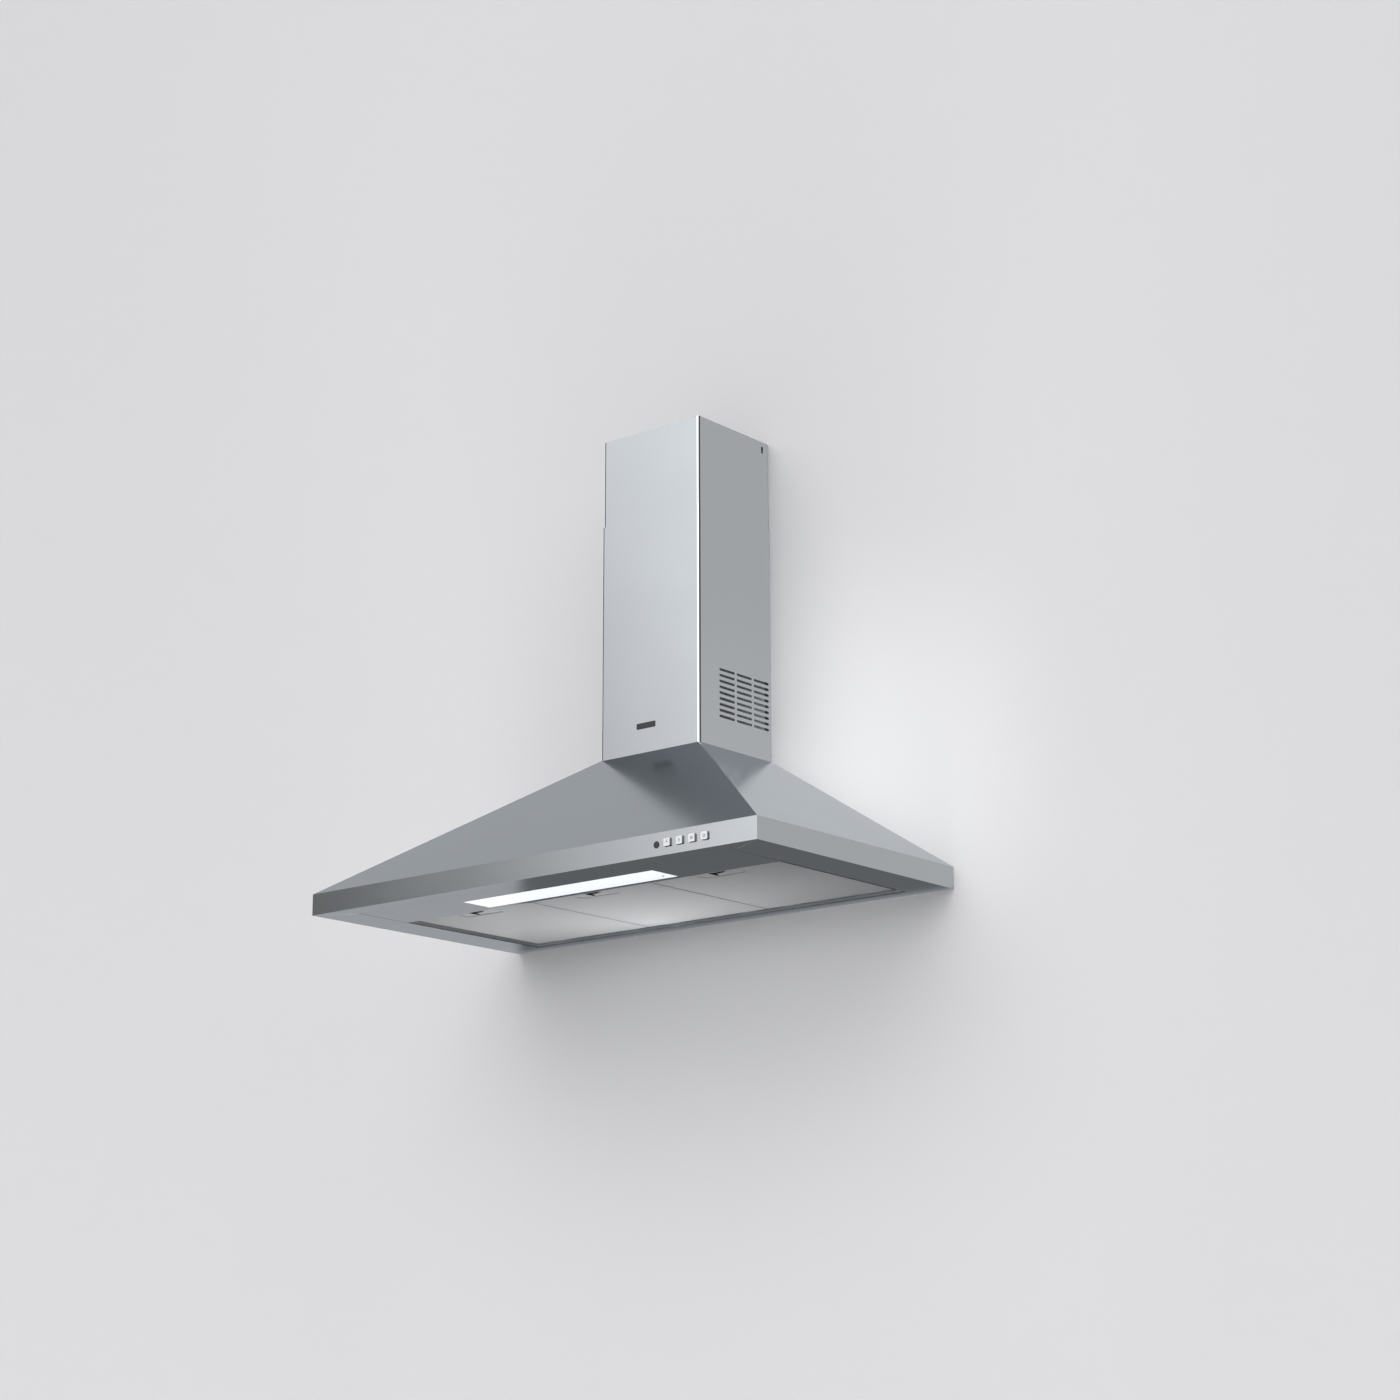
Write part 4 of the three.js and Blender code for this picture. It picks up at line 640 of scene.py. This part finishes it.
def key_marks():
    """Plain printed strokes on each key: a stroke on a bar, two bars, three bars and a frame."""
    for index, strokes in enumerate(KEY_MARKS):
        body = f"key_{index + 1}"
        low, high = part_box(body)
        centre = (low + high) / 2
        mesh = bmesh.new()
        for x, z, width, height in strokes:
            place = (centre.x + x * MM, low.y, centre.z + z * MM)
            stroke = rounded_outline(width * MM, height * MM, KEY_STROKE_CORNER, 2)
            outline_prism(mesh, stroke, KEY_INK, facing(place, TO_FRONT))
        finish_mesh(f"key_mark_{index + 1}", mesh, "outlet_plastic", body)


LINE_DEPTH = 0.12 * MM  # half of it in the sheet


def underside_line(name, corners, slot):
    """A thin flat line on the canopy's lower edge, drawn in XY."""
    mesh = bmesh.new()
    outline_prism(mesh, corners, LINE_DEPTH, Matrix.Translation((0, 0, Z_RIM - LINE_DEPTH / 2)))
    bmesh.ops.recalc_face_normals(mesh, faces=mesh.faces)
    finish_mesh(name, mesh, slot, "canopy")


# Start and end of each painted highlight line, from the canopy's front corner inwards and to the rear, and
# its width.
MITRE_HIGHLIGHT_RUNS = {
    "left": ((2 * MM, 0.5 * MM), (64 * MM, 34 * MM), 4.4 * MM),
    "right": ((2 * MM, 0.5 * MM), (62 * MM, 34 * MM), 1.4 * MM),
}


def painted_mitre_highlights():
    """The rim's front corner joints underneath: painted highlights, thin bright lines from the corner
    inwards.
    """
    low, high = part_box("canopy_shell")
    for side, (start, stop, width) in MITRE_HIGHLIGHT_RUNS.items():
        edge, inward = (low.x, 1) if side == "left" else (high.x, -1)
        start = Vector((edge + inward * start[0], low.y + start[1], 0.0))
        stop = Vector((edge + inward * stop[0], low.y + stop[1], 0.0))
        direction = (stop - start).normalized()
        across = Vector((-direction.y, direction.x, 0.0)) * width / 2
        corners = [(corner.x, corner.y) for corner in (start, stop - across, stop + across)]
        underside_line(f"painted_mitre_highlight_{side}", corners, "key_metal")


SEAM_WIDTH = 2.2 * MM
SEAM_START = 36 * MM  # from the canopy's front edge
SEAM_INSET = 9.8 * MM  # the panel's rim reaches this far over the flanges, out of sight


def flange_seams():
    """The dark joints between the lamp panel's ends and the side flanges."""
    low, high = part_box("canopy_shell")
    panel_low, panel_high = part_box("lamp_panel")
    front, rear = low.y + SEAM_START, panel_high.y
    for side, middle in (("left", panel_low.x + SEAM_INSET), ("right", panel_high.x - SEAM_INSET)):
        left, right = middle - SEAM_WIDTH / 2, middle + SEAM_WIDTH / 2
        corners = [(left, front), (right, front), (right, rear), (left, rear)]
        underside_line(f"flange_seam_{side}", corners, "indicator_plastic")


LENS_SCREW_PLACE = (181 * MM, -361 * MM, Z_RIM)


def lens_screw():
    """The small screw in the right end of the lamp's lens."""
    pan_screw("lens_screw", LENS_SCREW_PLACE, (0, 0, -1), LENS_SCREW, "motor_steel")


def corners_inside(low_side, high_side, low_end, high_end, inset):
    """The four places that lie the inset inside a rectangle's corners."""
    return [
        (first, second)
        for first in (low_side + inset, high_side - inset)
        for second in (low_end + inset, high_end - inset)
    ]


INLET_SCREW_INSET = 4 * MM
COLLAR_FLANGE = 2 * MM
COLLAR_SCREW_INSET = 7 * MM
LID_SCREW_INSET = 6 * MM


def blower_screws():
    """Screws round both inlets, on the collar's flange and on the junction box's lid."""
    guard_low, guard_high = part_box("inlet_guard")
    spider_low, spider_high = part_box("motor_spider")
    middle_y = (guard_low.y + guard_high.y) / 2
    middle_z = (guard_low.z + guard_high.z) / 2
    radius = (guard_high.z - guard_low.z) / 2 - INLET_SCREW_INSET
    for i in range(4):
        angle = math.radians(90 * i)
        y, z = middle_y + radius * math.cos(angle), middle_z + radius * math.sin(angle)
        pan_screw(f"guard_screw_{i + 1}", (guard_low.x, y, z), (-1, 0, 0), INLET_SCREW)
        pan_screw(f"spider_screw_{i + 1}", (spider_high.x, y, z), (1, 0, 0), INLET_SCREW)
    low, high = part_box("outlet_collar")
    corners = corners_inside(low.x, high.x, low.y, high.y, COLLAR_SCREW_INSET)
    for i, (x, y) in enumerate(corners):
        pan_screw(f"collar_screw_{i + 1}", (x, y, low.z + COLLAR_FLANGE), (0, 0, 1), COLLAR_SCREW)
    low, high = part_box("junction_lid")
    corners = corners_inside(low.x, high.x, low.z, high.z, LID_SCREW_INSET)
    for i, (x, z) in enumerate(corners):
        pan_screw(f"lid_screw_{i + 1}", (x, low.y, z), TO_FRONT, SHEET_SCREW)


PANEL_SCREWS_X = (-400 * MM, -270 * MM, 270 * MM, 400 * MM)
PANEL_SCREW_HEIGHT = 14 * MM  # over the canopy's lower edge
HOOK_SHEET = 2 * MM
HOOK_HOLE_HEIGHT = 15 * MM  # over the hook plate's lower edge


def back_screws():
    """Screws along the back panel's lower edge, and the wall screw in each hook's hole."""
    low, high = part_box("canopy_back_panel")
    for i, x in enumerate(PANEL_SCREWS_X):
        pan_screw(f"panel_screw_{i + 1}", (x, low.y, Z_RIM + PANEL_SCREW_HEIGHT), TO_FRONT, SHEET_SCREW)
    for side in ("left", "right"):
        low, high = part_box(f"wall_hook_{side}")
        middle = (low.x + high.x) / 2
        place = (middle, -HOOK_SHEET, low.z + HOOK_HOLE_HEIGHT)
        pan_screw(f"hook_screw_{side}", place, TO_FRONT, WALL_SCREW)


# ---------------------------------------------------------------- camera

# Place and aim of the photograph's camera, from the canopy's and the chimney's corners.
CAMERA_PLACE = Vector((2.81556, -3.45249, Z_RIM - 0.80808))
CAMERA_YAW = 0.6922  # radians, as are the next two
CAMERA_PITCH = 0.2588
CAMERA_ROLL = -0.0027
CAMERA_LENS = 72.30  # in millimetres, as is the sensor's width
SENSOR = 36.0


def make_camera():
    """A camera where the photograph's stood: turned left by the yaw, up by the pitch, then rolled."""
    data = bpy.data.cameras.new("camera")
    data.lens = CAMERA_LENS
    data.sensor_width = SENSOR
    data.clip_start = 0.05
    data.clip_end = 60.0
    camera = bpy.data.objects.new("camera", data)
    bpy.context.scene.collection.objects.link(camera)
    forward = Vector((
        -math.sin(CAMERA_YAW) * math.cos(CAMERA_PITCH),
        math.cos(CAMERA_YAW) * math.cos(CAMERA_PITCH),
        math.sin(CAMERA_PITCH),
    ))
    right = Vector((math.cos(CAMERA_YAW), math.sin(CAMERA_YAW), 0.0))
    up = right.cross(forward)
    rolled_right = right * math.cos(CAMERA_ROLL) + up * math.sin(CAMERA_ROLL)
    rolled_up = up * math.cos(CAMERA_ROLL) - right * math.sin(CAMERA_ROLL)
    turn = Matrix((rolled_right, rolled_up, -forward)).transposed().to_4x4()
    camera.matrix_world = Matrix.Translation(CAMERA_PLACE) @ turn
    bpy.context.scene.camera = camera


# ---------------------------------------------------------------- stage and light

WALL_COLOUR = (0.66, 0.66, 0.67, 1.0)
# colour of the painted pool of light beside the chimney
PAINTED_HALO_COLOUR = (0.845, 0.845, 0.853, 1.0)
HALO_PLACE = (0.25, 0.20)  # x and height over the canopy's lower edge
HALO_EDGE = (0.48, -0.02)  # distance from that place, dark to bright
HALO_PAINTED_REFLECTION = 1.1  # the painted reflection of the wall in the steel is this much brighter there
WALL_PAINTED_REFLECTION = 0.74  # brightness of the painted reflection of the wall that the steel shows
UPPER_LEFT_SHARE = 0.88  # the upper wall to the left of the chimney, in the painted reflection that the steel shows
UPPER_LEFT_SIDE = (-0.05, -0.3)  # x over which that share sets in
UPPER_LEFT_HEIGHT = (0.2, 0.4)  # and height over the canopy's lower edge
LOW_WALL_PAINTED_REFLECTION = 0.60  # below the canopy's lower edge
LOW_WALL_EDGE = (0.01, -0.01)
SHADE_PAINTED_REFLECTION = 0.20  # painted shade: the wall right under the canopy, in the painted reflection
SHADE_EDGE = (0.47, 0.43)  # distance from the middle of the hood
FAR_RIGHT_EDGE = (0.95, 1.5)  # x over which the painted reflection of the wall darkens
FAR_RIGHT_SHARE = 0.25
WALL_BEHIND = 1.0 * MM
FLOOR_DROP = 1.45
STAGE_REACH = 6.0
FLOOR_DARK = (0.60, 0.60, 0.61, 1.0)
FLOOR_LIGHT = (0.64, 0.64, 0.65, 1.0)


def stage_plane(name, corners, material):
    """A flat backdrop with four corners."""
    data = bpy.data.meshes.new(name)
    data.from_pydata([tuple(corner) for corner in corners], [], [(0, 1, 2, 3)])
    plane = bpy.data.objects.new(name, data)
    bpy.context.scene.collection.objects.link(plane)
    data.materials.append(material)


def dimmed(nodes, level, place, share):
    """The level, multiplied by the share where place is 1 and left alone where it is 0."""
    return nodes.math("MULTIPLY", level, nodes.ramp(place, 0.0, 1.0, 1.0, share, smooth=False))


def painted_wall_reflection(nodes, x, z):
    """Brightness of the painted reflection of the wall in the steel: painted shade where the hood's own
    shade falls, and far right.
    """
    height = nodes.math("SUBTRACT", z, Z_RIM)
    in_shade = nodes.ramp(nodes.math("ABSOLUTE", x), *SHADE_EDGE)
    low_wall = nodes.ramp(in_shade, 0.0, 1.0, LOW_WALL_PAINTED_REFLECTION, SHADE_PAINTED_REFLECTION, smooth=False)
    far_right = nodes.ramp(x, *FAR_RIGHT_EDGE)
    is_low = nodes.ramp(height, *LOW_WALL_EDGE)
    level = nodes.ramp(is_low, 0.0, 1.0, WALL_PAINTED_REFLECTION, low_wall, smooth=False)
    level = dimmed(nodes, level, far_right, FAR_RIGHT_SHARE)
    upper_left = nodes.product(nodes.ramp(x, *UPPER_LEFT_SIDE), nodes.ramp(height, *UPPER_LEFT_HEIGHT))
    return dimmed(nodes, level, upper_left, UPPER_LEFT_SHARE)


def seen_from_front_only(material, nodes, surface):
    """Ends the material in the surface, and lets everything through where it is seen from behind."""
    choose = nodes.add("ShaderNodeMixShader")
    nodes.wire(nodes.add("ShaderNodeNewGeometry").outputs["Backfacing"], choose.inputs["Fac"])
    nodes.wire(surface, choose.inputs[1])
    nodes.wire(nodes.add("ShaderNodeBsdfTransparent").outputs[0], choose.inputs[2])
    nodes.wire(choose.outputs[0], material.node_tree.nodes["Material Output"].inputs["Surface"])
    return material


def wall_material():
    """Matt pale paint, a little lighter beside the chimney through a painted pool of light, and a painted
    reflection for the steel.
    """
    material, nodes, shader = new_material("stage_wall", 0.0)
    x, y, z = nodes.split(nodes.place())
    beside_halo = nodes.math("SUBTRACT", x, HALO_PLACE[0])
    above_halo = nodes.math("SUBTRACT", z, Z_RIM + HALO_PLACE[1])
    # painted pool of light on the wall beside the chimney
    painted_halo = nodes.ramp(nodes.length(beside_halo, above_halo), *HALO_EDGE)
    nodes.wire(nodes.mix_colour(painted_halo, WALL_COLOUR, PAINTED_HALO_COLOUR), shader.inputs["Base Color"])
    shader.inputs["Roughness"].default_value = 0.9
    shader.inputs["Specular IOR Level"].default_value = 0.1
    # painted reflection: glossy rays see this emitted level and not the lit wall
    brighter = nodes.ramp(painted_halo, 0.0, 1.0, 1.0, HALO_PAINTED_REFLECTION)
    level = nodes.math("MULTIPLY", painted_wall_reflection(nodes, x, z), brighter)
    painted_reflection = nodes.add("ShaderNodeEmission")
    nodes.wire(nodes.join(level, level, level), painted_reflection.inputs["Color"])
    by_ray = nodes.add("ShaderNodeMixShader")
    nodes.wire(nodes.add("ShaderNodeLightPath").outputs["Is Glossy Ray"], by_ray.inputs["Fac"])
    nodes.wire(shader.outputs[0], by_ray.inputs[1])
    nodes.wire(painted_reflection.outputs[0], by_ray.inputs[2])
    return seen_from_front_only(material, nodes, by_ray.outputs[0])


def floor_material():
    """Matt grey floor, far below the hood."""
    material, nodes, shader = new_material("stage_floor", 0.0)
    cloud = nodes.noise(nodes.place(), 0.8, 2.0)
    nodes.wire(nodes.mix_colour(cloud, FLOOR_DARK, FLOOR_LIGHT), shader.inputs["Base Color"])
    shader.inputs["Roughness"].default_value = 0.9
    return seen_from_front_only(material, nodes, shader.outputs[0])


def make_stage():
    """The wall that the hood hangs on, and the floor."""
    reach, floor_z = STAGE_REACH, Z_RIM - FLOOR_DROP
    joint = [(-reach, WALL_BEHIND, floor_z), (reach, WALL_BEHIND, floor_z)]
    wall = [*joint, (reach, WALL_BEHIND, reach), (-reach, WALL_BEHIND, reach)]
    floor = [(-reach, -reach, floor_z), (reach, -reach, floor_z), *reversed(joint)]
    stage_plane("stage_wall", wall, wall_material())
    stage_plane("stage_floor", floor, floor_material())


# The studio as the steel sees it: one broad bright panel from the front left to the right, a little
# above, in a dim room that is darker towards the floor.
PANEL_LEFT_EDGE = (0.752, 0.548)  # angle from straight ahead towards the left, dark to bright
PANEL_LEFT_TILT = 0.38  # how that edge leans outwards with height
PANEL_RIGHT_EDGE = (-1.35, -1.15)
PANEL_LOW_EDGE = (-0.02, 0.10)
PANEL_HIGH_EDGE = (0.95, 0.62)
PANEL_STRENGTH = 1.40
STUDIO_BLUE = 1.01  # its light is this much stronger in blue
ROOM_HIGH = 0.16
ROOM_LOW = 0.14
ROOM_EDGE = (-0.25, 0.15)  # height of the direction over which the room changes from low to high


def make_world():
    """The studio's panel and room, by the direction from which they light and show in the steel."""
    world = bpy.data.worlds.new("studio")
    bpy.context.scene.world = world
    world.use_nodes = True
    nodes = Nodes(world.node_tree)
    background = world.node_tree.nodes["Background"]
    x, y, z = nodes.split(nodes.add("ShaderNodeTexCoord").outputs["Generated"])
    left = nodes.math("ARCTAN2", nodes.math("MULTIPLY", x, -1.0), nodes.math("MULTIPLY", y, -1.0))
    leaning = nodes.math("SUBTRACT", left, nodes.math("MULTIPLY", z, PANEL_LEFT_TILT))
    panel = nodes.ramp(leaning, *PANEL_LEFT_EDGE)
    for value, edges in ((left, PANEL_RIGHT_EDGE), (z, PANEL_LOW_EDGE), (z, PANEL_HIGH_EDGE)):
        panel = nodes.math("MULTIPLY", panel, nodes.ramp(value, *edges))
    room = nodes.ramp(z, *ROOM_EDGE, ROOM_LOW, ROOM_HIGH)
    level = nodes.math("MULTIPLY_ADD", panel, PANEL_STRENGTH, room)
    blue = nodes.math("MULTIPLY", level, STUDIO_BLUE)
    nodes.wire(nodes.join(level, level, blue), background.inputs["Color"])
    background.inputs["Strength"].default_value = 1.0


def make_lamp(name, direction, strength, angle):
    """Soft sunlight that comes from the direction and leaves no streak on the steel."""
    data = bpy.data.lights.new(name, "SUN")
    data.energy = strength
    data.angle = math.radians(angle)
    lamp = bpy.data.objects.new(name, data)
    bpy.context.scene.collection.objects.link(lamp)
    lamp.rotation_mode = "QUATERNION"
    lamp.rotation_quaternion = (-Vector(direction)).to_track_quat("-Z", "Y")
    lamp.visible_glossy = False


BOUNCE_SIZE = 1.5
BOUNCE_SPREAD = 50.0  # degrees
BOUNCE_POWER = 7.4  # watts
BOUNCE_DROP = 1.2  # under the canopy's lower edge
BOUNCE_BEFORE_WALL = 0.9


def make_bounce():
    """A low reflector that lights the hood from underneath, unseen in the steel and in the picture."""
    data = bpy.data.lights.new("bounce", "AREA")
    data.energy = BOUNCE_POWER
    data.size = BOUNCE_SIZE
    data.spread = math.radians(BOUNCE_SPREAD)
    lamp = bpy.data.objects.new("bounce", data)
    bpy.context.scene.collection.objects.link(lamp)
    lamp.location = (0.0, -BOUNCE_BEFORE_WALL, Z_RIM - BOUNCE_DROP)
    lamp.rotation_euler = (math.pi, 0.0, 0.0)
    lamp.visible_glossy = False
    lamp.visible_camera = False


# Each sun's direction, strength and width in degrees.
SUNS = {
    "key": ((0.10, -0.75, 0.80), 0.48, 60.0),
    "fill": ((0.0, -1.0, 0.10), 0.46, 110.0),
    "low": ((-0.05, -1.0, 0.04), 0.36, 14.0),
}


def make_light():
    """The studio, its soft suns and the reflector."""
    make_world()
    for name, (direction, strength, angle) in SUNS.items():
        make_lamp(name, direction, strength, angle)
    make_bounce()


# ---------------------------------------------------------------- scene

dress_frame()
badge_plate()
key_marks()
painted_mitre_highlights()
flange_seams()
lens_screw()
blower_screws()
back_screws()
make_stage()
make_light()
make_camera()
bpy.context.scene.view_settings.view_transform = "Standard"
